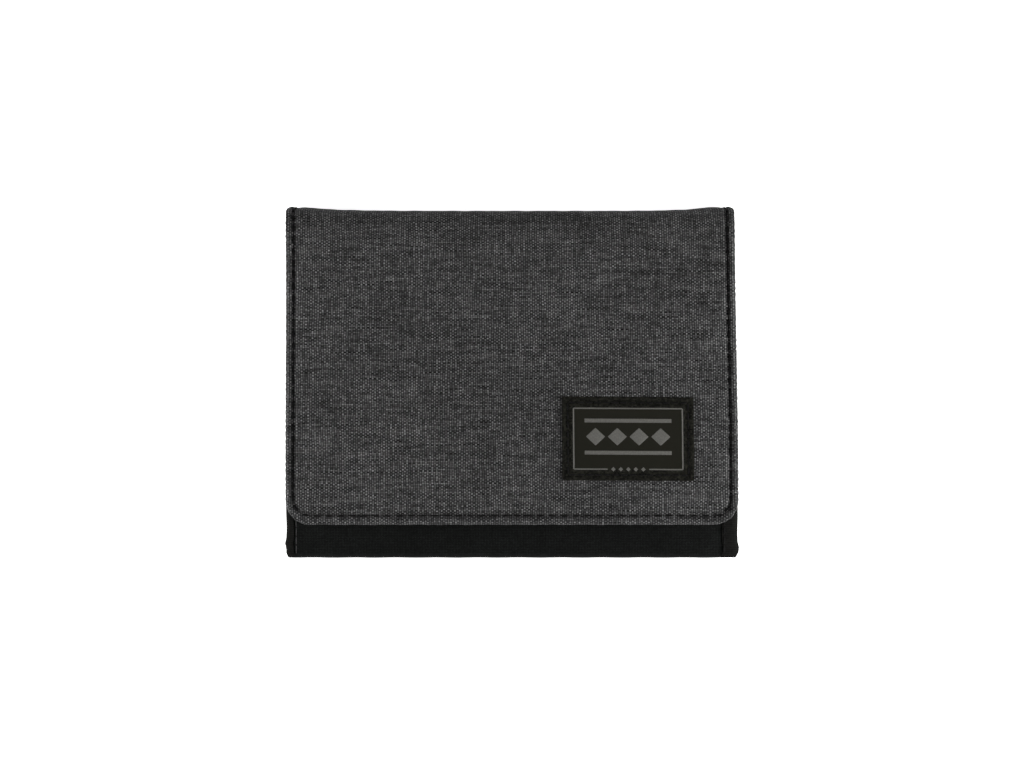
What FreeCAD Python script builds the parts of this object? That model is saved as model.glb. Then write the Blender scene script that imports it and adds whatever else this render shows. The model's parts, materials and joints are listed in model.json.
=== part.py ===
import FreeCAD, Part
import os
import re

import Sketcher

# A textile bifold wallet, closed and lying on its back, in millimetres.
# X runs across the wallet, Y from the open bottom edge to the fold at the top, Z up through the front cover.
# Three leaves turn on two parallel fold lines: the rear leaf (fixed), the spine and the front cover.
# The coin pocket on the rear leaf has a zip whose slider travels along X.

doc = FreeCAD.newDocument("BifoldWallet")

# ---------------------------------------------------------------------------------------------------
# Driving dimensions
# ---------------------------------------------------------------------------------------------------

DIMENSIONS = [
    ("wallet_width", 125),
    ("wallet_height", 97),
    ("wallet_thick", 15),
    ("fold_inset", 2),
    ("strip_height", 8.5),
    ("cover_slope", 3),
    ("corner_radius", 6.5),
    ("edge_radius", 1.2),
    ("cloth_thick", 0.8),
    ("board_thick", 0.4),
    ("lining_thick", 0.3),
    ("panel_thick", 0.4),
    ("bill_gap", 0.6),
    ("card_gap", 0.4),
    ("coin_gap", 2.7),
    ("seam_gap", 0.1),
    ("hem_width", 1.2),
    ("board_inset", 4),
    ("binding_left_width", 2.2),
    ("binding_right_width", 4.4),
    ("zip_inset", 10.5),
    ("zip_length", 104),
    ("tape_width", 5.5),
    ("tape_cover", 2.6),
    ("tape_thick", 0.5),
    ("coil_width", 1.2),
    ("coil_height", 1.8),
    ("coil_split", 1),
    ("coil_pitch", 1.6),
    ("coil_gap", 0.5),
    ("slider_length", 8),
    ("slider_start", 46),
    ("plate_thick", 0.6),
    ("bridge_width", 1),
    ("bridge_length", 5.2),
    ("bridge_room", 1),
    ("puller_length", 14),
    ("puller_width", 3.8),
    ("puller_bar", 0.8),
    ("pocket_inset", 15),
    ("pocket_height", 58),
    ("pocket_length", 92),
    ("pocket_step", 10),
    ("window_border", 6),
    ("film_thick", 0.2),
    ("mouth_tape", 5),
    ("closure_width", 9),
    ("closure_length", 76),
    ("loop_thick", 1.1),
    ("hook_thick", 0.9),
    ("thread", 0.5),
    ("stitch_pitch", 3.25),
    ("stitch_length", 2.3),
    ("stitch_inset", 2.2),
    ("label_width", 37),
    ("label_height", 23.5),
    ("label_thick", 0.8),
    ("label_across", 32.1),
    ("label_up", 32.85),
    ("label_border", 3.2),
    ("label_line", 0.4),
    ("line_break", 11.6),
    ("motif_pitch", 6.1),
    ("motif_width", 5.4),
    ("motif_height", 5),
    ("motif_bar", 1.1),
    ("motif_bar_away", 4.5),
    ("motif_rise", 0.6),
    ("mark_pitch", 2.1),
    ("mark_size", 1.3),
]

sheet = doc.addObject("Spreadsheet::Sheet", "Sizes")
for row, (alias, value) in enumerate(DIMENSIONS, start=1):
    sheet.set(f"A{row}", alias)
    sheet.set(f"B{row}", str(value))
    sheet.setAlias(f"B{row}", alias)
doc.recompute()


def from_sheet(text):
    """Turn a sum of alias names into an expression that reads them from the sheet."""
    return re.sub(r"\b[a-z]\w*", r"Sizes.\g<0>", text)


def value_of(text):
    """The present value of such a sum, in millimetres or degrees."""
    return float(sheet.evalExpression(from_sheet(text)))


# ---------------------------------------------------------------------------------------------------
# Bodies, sketches and pads
# ---------------------------------------------------------------------------------------------------


def new_body(label):
    body = doc.addObject("PartDesign::Body", label)
    body.Label = label
    return body


def origin_feature(body, role):
    return next(item for item in body.Origin.OriginFeatures if item.Role == role)


def add_outline(sketch, corners):
    """A closed outline of straight lines; every corner is held to the origin by two bound distances."""
    places = [FreeCAD.Vector(value_of(x), value_of(y), 0) for x, y in corners]
    first = sketch.GeometryCount
    count = len(corners)
    for index in range(count):
        line = Part.LineSegment(places[index], places[(index + 1) % count])
        sketch.addGeometry(line, False)
    for index in range(count):
        following = first + (index + 1) % count
        sketch.addConstraint(Sketcher.Constraint("Coincident", first + index, 2, following, 1))
    for index, (x, y) in enumerate(corners):
        for kind, text in (("DistanceX", x), ("DistanceY", y)):
            rule = Sketcher.Constraint(kind, -1, 1, first + index, 1, value_of(text))
            number = sketch.addConstraint(rule)
            sketch.setExpression(f"Constraints[{number}]", from_sheet(text))


def rectangle(left, right, low, high):
    return [(left, low), (right, low), (right, high), (left, high)]


def pad(body, name, outlines, bottom, height):
    """Pad one or more closed outlines, drawn looking down Z, from the level bottom upwards."""
    sketch = body.newObject("Sketcher::SketchObject", f"{body.Name}_{name}_sketch")
    sketch.AttachmentSupport = (origin_feature(body, "XY_Plane"), [""])
    sketch.MapMode = "FlatFace"
    sketch.setExpression(".AttachmentOffset.Base.z", from_sheet(bottom))
    for corners in outlines:
        add_outline(sketch, corners)
    feature = body.newObject("PartDesign::Pad", f"{body.Name}_{name}")
    feature.Profile = sketch
    feature.setExpression("Length", from_sheet(height))
    sketch.Visibility = False
    return feature


def slab(label, left, right, low, high, bottom, height):
    """A sub-part that is one flat rectangular piece."""
    body = new_body(label)
    pad(body, "slab", [rectangle(left, right, low, high)], bottom, height)
    return body


def repeat(body, original, role, length, count):
    """Repeat a pad along one of the body's own axes."""
    pattern = body.newObject("PartDesign::LinearPattern", f"{original.Name}_row")
    pattern.Originals = [original]
    pattern.Direction = (origin_feature(body, role), [""])
    pattern.setExpression("Length", from_sheet(length))
    pattern.Occurrences = count
    body.Tip = pattern
    return pattern


def round_corners(body, radius, wanted):
    """Fillet the upright edges of the newest feature whose middle satisfies wanted."""
    doc.recompute()
    base = body.Tip
    names = []
    for number, edge in enumerate(base.Shape.Edges, start=1):
        box = edge.BoundBox
        upright = box.XLength < 1e-6 and box.YLength < 1e-6
        if upright and wanted(box.Center):
            names.append(f"Edge{number}")
    fillet = body.newObject("PartDesign::Fillet", f"{body.Name}_corners")
    fillet.Base = (base, names)
    fillet.setExpression("Radius", from_sheet(radius))
    return fillet


# ---------------------------------------------------------------------------------------------------
# Levels and edges shared by several sub-parts, each a sum of driving dimensions
# ---------------------------------------------------------------------------------------------------

LEFT = "-wallet_width / 2"
RIGHT = "wallet_width / 2"
BOTTOM = "-wallet_height / 2"
FOLD = "wallet_height / 2 - fold_inset"

LINING_LEFT = f"{LEFT} + 5 * seam_gap"
LINING_RIGHT = f"{RIGHT} - 5 * seam_gap"
LINING_BOTTOM = f"{BOTTOM} + 5 * seam_gap"

REAR_LINING_LEVEL = "cloth_thick + board_thick"
REAR_PANEL_LEVEL = f"{REAR_LINING_LEVEL} + lining_thick + bill_gap"
REAR_PANEL_TOP = f"{REAR_PANEL_LEVEL} + panel_thick"
COIN_FRONT_LEVEL = f"{REAR_PANEL_TOP} + coin_gap"
COIN_FRONT_TOP = f"{COIN_FRONT_LEVEL} + panel_thick"
REAR_PANEL_HIGH = f"{FOLD} - 2 * seam_gap - cloth_thick"

ZIP_LINE = f"{FOLD} - zip_inset"
ZIP_LEFT = "-zip_length / 2"
ZIP_RIGHT = "zip_length / 2"
TAPE_LEVEL = f"{COIN_FRONT_LEVEL} - tape_thick - seam_gap"
COIL_LEVEL = f"{TAPE_LEVEL} + tape_thick"
COIL_TOP = f"{COIL_LEVEL} + coil_height"

COVER_LENGTH = "wallet_height - strip_height - fold_inset"
COVER_SHELL_LEVEL = "fold_inset - cloth_thick"
COVER_BOARD_LEVEL = f"{COVER_SHELL_LEVEL} - board_thick"
COVER_LINING_LEVEL = f"{COVER_BOARD_LEVEL} - lining_thick"
COVER_PANEL_LEVEL = f"{COVER_LINING_LEVEL} - bill_gap - panel_thick"
CARD_BACK_LEVEL = f"{COVER_PANEL_LEVEL} - card_gap - panel_thick"
CARD_MIDDLE_LEVEL = f"{CARD_BACK_LEVEL} - card_gap - panel_thick"
WINDOW_FRAME_LEVEL = f"{CARD_MIDDLE_LEVEL} - card_gap - panel_thick"

POCKET_LEFT = "-wallet_width / 2 + 6"
POCKET_HIGH = "-pocket_inset"
POCKET_LOW = "-pocket_inset - pocket_height"


# ---------------------------------------------------------------------------------------------------
# Rear leaf
# ---------------------------------------------------------------------------------------------------


def make_rear_leaf():
    shell = slab("rear_shell", LEFT, RIGHT, BOTTOM, f"{FOLD} - seam_gap", "0", "cloth_thick")
    bottom = value_of(BOTTOM)
    round_corners(shell, "edge_radius", lambda middle: abs(middle.y - bottom) < 0.01)
    slab("rear_stiffener", f"{LEFT} + board_inset", f"{RIGHT} - board_inset",
         f"{BOTTOM} + board_inset", f"{FOLD} - board_inset", "cloth_thick", "board_thick")
    slab("rear_lining", LINING_LEFT, LINING_RIGHT, LINING_BOTTOM, f"{FOLD} - 2 * seam_gap",
         REAR_LINING_LEVEL, "lining_thick")
    slab("rear_inner_panel", LINING_LEFT, LINING_RIGHT, LINING_BOTTOM, REAR_PANEL_HIGH,
         REAR_PANEL_LEVEL, "panel_thick")
    slab("coin_pocket_front", LINING_LEFT, LINING_RIGHT, LINING_BOTTOM,
         f"{ZIP_LINE} - coil_split / 2 - tape_cover", COIN_FRONT_LEVEL, "panel_thick")
    slab("coin_pocket_top_band", LINING_LEFT, LINING_RIGHT, f"{ZIP_LINE} + coil_split / 2 + tape_cover",
         REAR_PANEL_HIGH, COIN_FRONT_LEVEL, "panel_thick")
    slab("bottom_edge_binding", f"{LEFT} + edge_radius", f"{RIGHT} - edge_radius", BOTTOM,
         f"{BOTTOM} + panel_thick", "cloth_thick + seam_gap", f"{COIN_FRONT_TOP} - cloth_thick - seam_gap")


def make_side_bindings():
    """Edge tapes of the rear leaf: an upright wall and a flange that lies on the coin pocket."""
    low = f"{BOTTOM} + edge_radius"
    left = new_body("binding_left")
    pad(left, "wall", [rectangle(LEFT, f"{LEFT} + panel_thick", low, REAR_PANEL_HIGH)],
        "cloth_thick + seam_gap", f"{COIN_FRONT_TOP} - cloth_thick - seam_gap")
    pad(left, "flange", [rectangle(LEFT, f"{LEFT} + binding_left_width", low, REAR_PANEL_HIGH)],
        COIN_FRONT_TOP, "panel_thick")
    right = new_body("binding_right")
    pad(right, "wall", [rectangle(f"{RIGHT} - panel_thick", RIGHT, low, REAR_PANEL_HIGH)],
        REAR_PANEL_LEVEL, f"{COIN_FRONT_TOP} - ({REAR_PANEL_LEVEL})")
    pad(right, "flange", [rectangle(f"{RIGHT} - binding_right_width", RIGHT, low, REAR_PANEL_HIGH)],
        COIN_FRONT_TOP, "panel_thick")


def make_zip():
    """The coin pocket's coil zip: a tape and a row of turns on each side of the split, and its end stops."""
    sides = (("lower", -1), ("upper", 1))
    for name, side in sides:
        near = f"{ZIP_LINE} + {side} * coil_split / 2"
        tape_far = f"{near} + {side} * tape_width"
        coil_far = f"{near} + {side} * coil_width"
        tape_low, tape_high = (tape_far, near) if side < 0 else (near, tape_far)
        coil_low, coil_high = (coil_far, near) if side < 0 else (near, coil_far)
        slab(f"zip_tape_{name}", f"{ZIP_LEFT} - board_inset", f"{ZIP_RIGHT} + board_inset",
             tape_low, tape_high, TAPE_LEVEL, "tape_thick")
        coil = new_body(f"zip_coil_{name}")
        shift = "0" if side < 0 else "coil_pitch / 2"
        start = f"{ZIP_LEFT} + {shift}"
        outline = rectangle(start, f"{start} + coil_pitch - coil_gap", coil_low, coil_high)
        turn = pad(coil, "turn", [outline], COIL_LEVEL, "coil_height")
        turns = int(value_of("zip_length / coil_pitch")) - 1
        repeat(coil, turn, "X_Axis", f"{turns - 1} * coil_pitch", turns)
    stops = new_body("zip_stops")
    width = "2 * coil_width + coil_split"
    for name, left, right in (("left", f"{ZIP_LEFT} - 2.2", f"{ZIP_LEFT} - 0.6"),
                              ("right", f"{ZIP_RIGHT} + 0.6", f"{ZIP_RIGHT} + 2.2")):
        outline = rectangle(left, right, f"{ZIP_LINE} - ({width}) / 2", f"{ZIP_LINE} + ({width}) / 2")
        pad(stops, name, [outline], COIL_LEVEL, "coil_height * 0.8")


def make_rear_trim():
    """The soft half of the closure and the seams that show on the rear leaf."""
    low = f"{BOTTOM} + strip_height + 2.5"
    slab("closure_loop_strip", "-closure_length / 2", "closure_length / 2", low, f"{low} + closure_width",
         COIN_FRONT_TOP, "loop_thick")
    stitching = new_body("rear_leaf_stitching")
    seams = (("left", f"{LEFT} + binding_left_width + seam_gap"),
             ("right", f"{RIGHT} - binding_right_width - seam_gap - thread"))
    start = f"{BOTTOM} + stitch_inset"
    count = int(value_of(f"({ZIP_LINE} - tape_width - ({start})) / stitch_pitch"))
    for name, left in seams:
        outline = rectangle(left, f"{left} + thread", start, f"{start} + stitch_length")
        stitch = pad(stitching, name, [outline], COIN_FRONT_TOP, "thread / 2")
        repeat(stitching, stitch, "Y_Axis", f"{count - 1} * stitch_pitch", count)
    zip_seams = new_body("zip_stitching")
    across = int(value_of("zip_length / stitch_pitch"))
    for name, level in (("lower", f"{ZIP_LINE} - coil_split / 2 - tape_cover - 1.2"),
                        ("upper", f"{ZIP_LINE} + coil_split / 2 + tape_cover + 0.7")):
        outline = rectangle(ZIP_LEFT, f"{ZIP_LEFT} + stitch_length", level, f"{level} + thread")
        stitch = pad(zip_seams, name, [outline], COIN_FRONT_TOP, "thread / 2")
        repeat(zip_seams, stitch, "X_Axis", f"{across - 1} * stitch_pitch", across)


# ---------------------------------------------------------------------------------------------------
# Zip slider and puller, drawn about the middle of the slider
# ---------------------------------------------------------------------------------------------------


def place_on_zip(body):
    body.setExpression(".Placement.Base.x", from_sheet("-slider_start"))
    body.setExpression(".Placement.Base.y", from_sheet(ZIP_LINE))
    body.setExpression(".Placement.Base.z", from_sheet(f"{COIL_TOP} + seam_gap"))


def make_slider():
    body = new_body("zip_slider_body")
    half_length = "slider_length / 2"
    outer = "coil_split / 2 + coil_width + 0.8"
    inner = "coil_split / 2 + coil_width + 0.2"
    shield = [(f"-{half_length}", f"-({inner}) + 0.4"), (f"{half_length} - 2", f"-({outer})"),
              (half_length, f"-({outer})"), (half_length, outer), (f"{half_length} - 2", outer),
              (f"-{half_length}", f"{inner} - 0.4")]
    pad(body, "top", [shield], "0", "plate_thick")
    pad(body, "bottom", [shield], "-coil_height - tape_thick - 3 * seam_gap - plate_thick", "plate_thick")
    pad(body, "post", [rectangle(f"{half_length} - 3", f"{half_length} - 0.5", "-coil_split / 2 + 0.2",
                                 "coil_split / 2 - 0.2")],
        "-coil_height - tape_thick - 3 * seam_gap", "coil_height + tape_thick + 3 * seam_gap")
    for name, low, high in (("lower", f"-({outer})", f"-({inner})"), ("upper", inner, outer)):
        pad(body, f"flange_{name}", [rectangle(f"{half_length} - 2", half_length, low, high)],
            "-coil_height + 2 * seam_gap", "coil_height - 2 * seam_gap")
    bridge_low, bridge_high = "-bridge_width / 2", "bridge_width / 2"
    for name, left, right in (("rear", "-bridge_length / 2", "-bridge_length / 2 + 0.7"),
                              ("front", "bridge_length / 2 - 0.7", "bridge_length / 2")):
        pad(body, f"bridge_{name}", [rectangle(left, right, bridge_low, bridge_high)], "plate_thick",
            "bridge_room")
    pad(body, "bridge_top", [rectangle("-bridge_length / 2", "bridge_length / 2", bridge_low, bridge_high)],
        "plate_thick + bridge_room", "plate_thick")
    place_on_zip(body)


def make_puller():
    """A pull tab whose cross bar turns under the slider's bridge."""
    body = new_body("zip_pull_tab")
    half_width = "puller_width / 2"
    arm = "puller_width / 2 - 0.8"
    bar_end = "puller_bar / 2"
    eye_end = "bridge_length / 2 + 0.6"
    level = "plate_thick + bridge_room / 2 - puller_bar * 3 / 8"
    outline = rectangle(f"-{bar_end}", "puller_length", f"-{half_width}", half_width)
    eye = rectangle(bar_end, eye_end, f"-({arm})", arm)
    slot = rectangle("puller_length - 4.5", "puller_length - 2", "-0.7", "0.7")
    pad(body, "tab", [outline, eye, slot], level, "puller_bar * 3 / 4")
    tip = value_of("puller_length")
    round_corners(body, "edge_radius", lambda middle: abs(middle.x - tip) < 0.01)
    place_on_zip(body)


# ---------------------------------------------------------------------------------------------------
# Spine: the three upright layers between the two fold lines
# ---------------------------------------------------------------------------------------------------


def make_spine():
    top = "wallet_thick - fold_inset"
    outer = "wallet_height / 2"
    slab("spine_shell", LEFT, RIGHT, f"{outer} - cloth_thick", outer, "fold_inset",
         f"{top} - fold_inset")
    slab("spine_lining", LINING_LEFT, LINING_RIGHT, f"{outer} - cloth_thick - lining_thick",
         f"{outer} - cloth_thick", "fold_inset + 2 * seam_gap", f"{top} - fold_inset - 4 * seam_gap")
    slab("spine_inner_web", f"{LINING_LEFT} + 2", f"{LINING_RIGHT} - 2", f"{FOLD} + 2 * seam_gap",
         f"{FOLD} + 4 * seam_gap", "fold_inset + panel_thick", f"{top} - fold_inset - 2 * panel_thick")


# ---------------------------------------------------------------------------------------------------
# Front cover, drawn with its fold line on the X axis and its free edge at negative Y
# ---------------------------------------------------------------------------------------------------


def place_on_cover(body):
    """Hang a piece of the front cover on the upper fold line, at the slope of the closed cover."""
    body.Placement = FreeCAD.Placement(FreeCAD.Vector(), FreeCAD.Rotation(FreeCAD.Vector(1, 0, 0), 1))
    body.setExpression(".Placement.Base.y", from_sheet(FOLD))
    body.setExpression(".Placement.Base.z", from_sheet("wallet_thick - fold_inset"))
    body.setExpression(".Placement.Rotation.Angle", from_sheet("cover_slope") + " * 1 deg")


def make_cover_shell():
    """The cloth face with the turned hem that runs round its two sides and its free edge."""
    shell = new_body("cover_shell")
    free = f"-({COVER_LENGTH})"
    pad(shell, "face", [rectangle(LEFT, RIGHT, free, "-seam_gap")], COVER_SHELL_LEVEL, "cloth_thick")
    inner_left = f"{LEFT} + hem_width"
    inner_right = f"{RIGHT} - hem_width"
    inner_low = f"{free} + hem_width"
    hem = [(LEFT, free), (RIGHT, free), (RIGHT, "-seam_gap"), (inner_right, "-seam_gap"),
           (inner_right, inner_low), (inner_left, inner_low), (inner_left, "-seam_gap"), (LEFT, "-seam_gap")]
    pad(shell, "hem", [hem], COVER_LINING_LEVEL, "board_thick + lining_thick")
    corners = (("corner_radius - hem_width", inner_right, inner_low), ("corner_radius", RIGHT, free))
    for radius, side, end in corners:
        round_corners(shell, radius, lambda middle, x=value_of(side), y=value_of(end):
                      abs(middle.y - y) < 0.01 and abs(abs(middle.x) - x) < 0.01)
    place_on_cover(shell)


def make_cover_layers():
    free = f"-({COVER_LENGTH}) + hem_width + seam_gap"
    left = f"{LEFT} + hem_width + seam_gap"
    right = f"{RIGHT} - hem_width - seam_gap"
    corner = "corner_radius - hem_width"
    end = value_of(free)
    board = slab("cover_stiffener", f"{LEFT} + board_inset", f"{RIGHT} - board_inset",
                 f"-({COVER_LENGTH}) + board_inset", "-board_inset", COVER_BOARD_LEVEL, "board_thick")
    lining = slab("cover_lining", left, right, free, "-2 * seam_gap", COVER_LINING_LEVEL, "lining_thick")
    round_corners(lining, corner, lambda middle: abs(middle.y - end) < 0.01)
    panel = slab("cover_inner_panel", left, right, free, "-2 * seam_gap - cloth_thick", COVER_PANEL_LEVEL,
                 "panel_thick")
    round_corners(panel, corner, lambda middle: abs(middle.y - end) < 0.01)
    for body in (board, lining, panel):
        place_on_cover(body)


def make_card_pockets():
    """Three pockets on the inner face: two for cards and one with a clear window, stepped to the right."""
    layers = (("card_pocket_back", 2, CARD_BACK_LEVEL), ("card_pocket_middle", 1, CARD_MIDDLE_LEVEL))
    for label, steps, level in layers:
        mouth = f"{POCKET_LEFT} + pocket_length + {steps} * pocket_step"
        panel = slab(label, POCKET_LEFT, mouth, POCKET_LOW, POCKET_HIGH, level, "panel_thick")
        tape = slab(f"{label}_tape", f"{mouth} - mouth_tape", mouth, POCKET_LOW, POCKET_HIGH,
                    f"{level} - panel_thick / 2", "panel_thick / 2")
        place_on_cover(panel)
        place_on_cover(tape)
    mouth = f"{POCKET_LEFT} + pocket_length"
    frame = new_body("id_window_frame")
    opening = rectangle(f"{POCKET_LEFT} + window_border", f"{mouth} - window_border",
                        f"{POCKET_LOW} + window_border", f"{POCKET_HIGH} - window_border")
    pad(frame, "border", [rectangle(POCKET_LEFT, mouth, POCKET_LOW, POCKET_HIGH), opening],
        WINDOW_FRAME_LEVEL, "panel_thick")
    lap = "window_border - 2"
    film = slab("id_window", f"{POCKET_LEFT} + {lap}", f"{mouth} - ({lap})", f"{POCKET_LOW} + {lap}",
                f"{POCKET_HIGH} - ({lap})", f"{WINDOW_FRAME_LEVEL} + panel_thick", "film_thick")
    for body in (frame, film):
        place_on_cover(body)


def make_cover_closure():
    low = f"-({COVER_LENGTH}) + 2.5"
    strip = slab("closure_hook_strip", "-closure_length / 2", "closure_length / 2", low,
                 f"{low} + closure_width", f"{COVER_PANEL_LEVEL} - hook_thick", "hook_thick")
    place_on_cover(strip)


def make_cover_stitching():
    """The seam that runs down both sides and along the free edge of the cover."""
    body = new_body("cover_stitching")
    free = f"-({COVER_LENGTH})"
    start = f"{free} + corner_radius + 1"
    count = int(value_of(f"({COVER_LENGTH} - corner_radius - 4) / stitch_pitch"))
    sides = (("left", f"{LEFT} + stitch_inset"), ("right", f"{RIGHT} - stitch_inset - thread"))
    for name, left in sides:
        outline = rectangle(left, f"{left} + thread", start, f"{start} + stitch_length")
        stitch = pad(body, name, [outline], "fold_inset", "thread / 2")
        repeat(body, stitch, "Y_Axis", f"{count - 1} * stitch_pitch", count)
    across = int(value_of("(wallet_width - 2 * corner_radius) / stitch_pitch"))
    left = f"-({across} * stitch_pitch - stitch_pitch + stitch_length) / 2"
    level = f"{free} + stitch_inset + 0.6"
    outline = rectangle(left, f"{left} + stitch_length", level, f"{level} + thread")
    stitch = pad(body, "free_edge", [outline], "fold_inset", "thread / 2")
    repeat(body, stitch, "X_Axis", f"{across - 1} * stitch_pitch", across)
    place_on_cover(body)


# ---------------------------------------------------------------------------------------------------
# Woven label on the cover: four diamonds between two bars, in a frame line that small diamonds interrupt
# ---------------------------------------------------------------------------------------------------


def diamond(x, y, width, height):
    """A diamond round a point, as an outline."""
    return [(f"{x} - {width} / 2", y), (x, f"{y} - {height} / 2"), (f"{x} + {width} / 2", y),
            (x, f"{y} + {height} / 2")]


def make_label():
    middle_x = "label_across"
    middle_y = f"-(wallet_height - fold_inset) + label_up"
    low = f"{middle_y} - label_height / 2"
    high = f"{middle_y} + label_height / 2"
    left = f"{middle_x} - label_width / 2"
    right = f"{middle_x} + label_width / 2"
    top = "fold_inset + label_thick"
    base = slab("label_base", left, right, low, high, "fold_inset", "label_thick")
    line = new_body("label_frame_line")
    rings = []
    for inset in ("label_border", "(label_border + label_line)"):
        near_x, far_x = f"{left} + {inset}", f"{right} - {inset}"
        near_y, far_y = f"{low} + {inset}", f"{high} - {inset}"
        rings.append([(f"{middle_x} - line_break / 2", near_y), (near_x, near_y), (near_x, far_y),
                      (far_x, far_y), (far_x, near_y), (f"{middle_x} + line_break / 2", near_y)])
    pad(line, "line", [rings[0] + rings[1][::-1]], top, "label_line / 2")
    motif = new_body("label_motif")
    centre_y = f"{middle_y} + motif_rise"
    for number in range(4):
        centre_x = f"{middle_x} + {number - 1.5} * motif_pitch"
        pad(motif, f"diamond_{number}", [diamond(centre_x, centre_y, "motif_width", "motif_height")], top,
            "label_line / 2")
    for name, side in (("low", "-"), ("high", "+")):
        level = f"{centre_y} {side} motif_bar_away"
        bar = rectangle(f"{middle_x} - 2 * motif_pitch", f"{middle_x} + 2 * motif_pitch",
                        f"{level} - motif_bar / 2", f"{level} + motif_bar / 2")
        pad(motif, f"bar_{name}", [bar], top, "label_line / 2")
    for number in range(5):
        centre_x = f"{middle_x} + {number - 2} * mark_pitch"
        mark = diamond(centre_x, f"{low} + label_border + label_line / 2", "mark_size", "mark_size")
        pad(motif, f"mark_{number}", [mark], top, "label_line / 2")
    stitching = new_body("label_stitching")
    seam = "label_border / 2 - thread / 2"
    pitch = "stitch_pitch * 0.8"
    across = int(value_of(f"(label_width - label_border) / ({pitch})"))
    up = int(value_of(f"(label_height - label_border * 2) / ({pitch})"))
    for name, level in (("low", f"{low} + {seam}"), ("high", f"{high} - ({seam}) - thread")):
        start = f"{middle_x} - ({across - 1} * {pitch} + stitch_length * 0.8) / 2"
        stitch = pad(stitching, name, [rectangle(start, f"{start} + stitch_length * 0.8", level,
                                                 f"{level} + thread")], top, "thread / 2")
        repeat(stitching, stitch, "X_Axis", f"{across - 1} * {pitch}", across)
    for name, edge in (("left", f"{left} + {seam}"), ("right", f"{right} - ({seam}) - thread")):
        start = f"{middle_y} - ({up - 1} * {pitch} + stitch_length * 0.8) / 2"
        stitch = pad(stitching, name, [rectangle(edge, f"{edge} + thread", start,
                                                 f"{start} + stitch_length * 0.8")], top, "thread / 2")
        repeat(stitching, stitch, "Y_Axis", f"{up - 1} * {pitch}", up)
    for body in (base, line, motif, stitching):
        place_on_cover(body)


# ---------------------------------------------------------------------------------------------------
# Build, check and write
# ---------------------------------------------------------------------------------------------------


def write_parts():
    """Recompute everything, refuse anything broken, and write one STEP file per body."""
    doc.recompute()
    for item in doc.Objects:
        if "Invalid" in item.State or "Error" in item.State:
            raise RuntimeError(f"{item.Label} did not recompute: {item.State}")
    os.makedirs("parts", exist_ok=True)
    for body in doc.findObjects("PartDesign::Body"):
        shape = body.Shape
        if shape.isNull() or not shape.isValid() or not shape.Solids:
            raise RuntimeError(f"{body.Label} has no valid solid")
        shape.exportStep(f"parts/{body.Label}.step")


make_rear_leaf()
make_side_bindings()
make_zip()
make_rear_trim()
make_slider()
make_puller()
make_spine()
make_cover_shell()
make_cover_layers()
make_card_pockets()
make_cover_closure()
make_cover_stitching()
make_label()
write_parts()
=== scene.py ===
import json
import math

import bmesh
import bpy
import numpy as np
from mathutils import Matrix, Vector


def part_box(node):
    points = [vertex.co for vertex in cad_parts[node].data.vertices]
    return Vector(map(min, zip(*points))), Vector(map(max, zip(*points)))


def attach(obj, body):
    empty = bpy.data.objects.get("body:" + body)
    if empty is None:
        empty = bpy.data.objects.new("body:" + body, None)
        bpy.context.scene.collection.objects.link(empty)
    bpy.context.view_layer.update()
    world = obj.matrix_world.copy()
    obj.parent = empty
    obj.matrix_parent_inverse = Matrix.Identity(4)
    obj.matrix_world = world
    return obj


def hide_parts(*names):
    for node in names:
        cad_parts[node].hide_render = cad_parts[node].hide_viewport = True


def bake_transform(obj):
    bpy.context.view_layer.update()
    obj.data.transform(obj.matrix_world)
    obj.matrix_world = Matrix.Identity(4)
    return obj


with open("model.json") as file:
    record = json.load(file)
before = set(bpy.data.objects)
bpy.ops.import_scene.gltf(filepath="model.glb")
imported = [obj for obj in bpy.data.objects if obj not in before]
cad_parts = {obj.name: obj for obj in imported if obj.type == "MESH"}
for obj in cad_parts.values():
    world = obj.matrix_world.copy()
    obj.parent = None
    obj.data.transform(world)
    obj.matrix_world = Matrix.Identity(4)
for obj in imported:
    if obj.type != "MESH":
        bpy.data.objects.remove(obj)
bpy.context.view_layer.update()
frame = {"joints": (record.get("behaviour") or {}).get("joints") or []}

# A textile bifold wallet, closed and lying on its back. The code below counts in millimetres and
# turns every finished mesh into metres. X runs across the wallet, Y towards the fold, Z up through
# the front cover.

MM = 0.001


# ---- Sizes read from the frame ----


def box_mm(node):
    """Lowest and highest corner of a CAD node at rest, in millimetres."""
    return tuple(np.array(corner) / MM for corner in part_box(node))


JOINTS = {joint["name"]: joint for joint in frame["joints"]}
FOLD_Y, REAR_HINGE_Z = np.array(JOINTS["lower_fold"]["pos_m"])[1:] / MM
COVER_HINGE_Z = JOINTS["upper_fold"]["pos_m"][2] / MM
SLOPE = math.radians(JOINTS["upper_fold"]["range_deg"][1] - 90)
COVER_ALONG = np.array([-math.cos(SLOPE), -math.sin(SLOPE)])
COVER_OUT = np.array([-math.sin(SLOPE), math.cos(SLOPE)])

REAR_LOW, REAR_HIGH = box_mm("rear_shell")
SPINE_LOW, SPINE_HIGH = box_mm("spine_shell")
COVER_LOW = box_mm("cover_shell")[0]
HALF_WIDTH = REAR_HIGH[0]
BOTTOM = REAR_LOW[1]
SPINE_Y = SPINE_HIGH[1]
SPINE_MIDDLE_Z = (SPINE_LOW[2] + SPINE_HIGH[2]) / 2
FOLD_INSET = REAR_HINGE_Z
COVER_LENGTH = (FOLD_Y - COVER_LOW[1]) / math.cos(SLOPE)
CLOTH = REAR_HIGH[2] - REAR_LOW[2]


def cover_span(node, direction):
    """Lowest and highest place of a front cover node from the upper fold line, in that direction (y, z)."""
    points = [vertex.co for vertex in bpy.data.objects[node].data.vertices]
    places = [(p.y / MM - FOLD_Y) * direction[0] + (p.z / MM - COVER_HINGE_Z) * direction[1] for p in points]
    return min(places), max(places)


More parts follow.
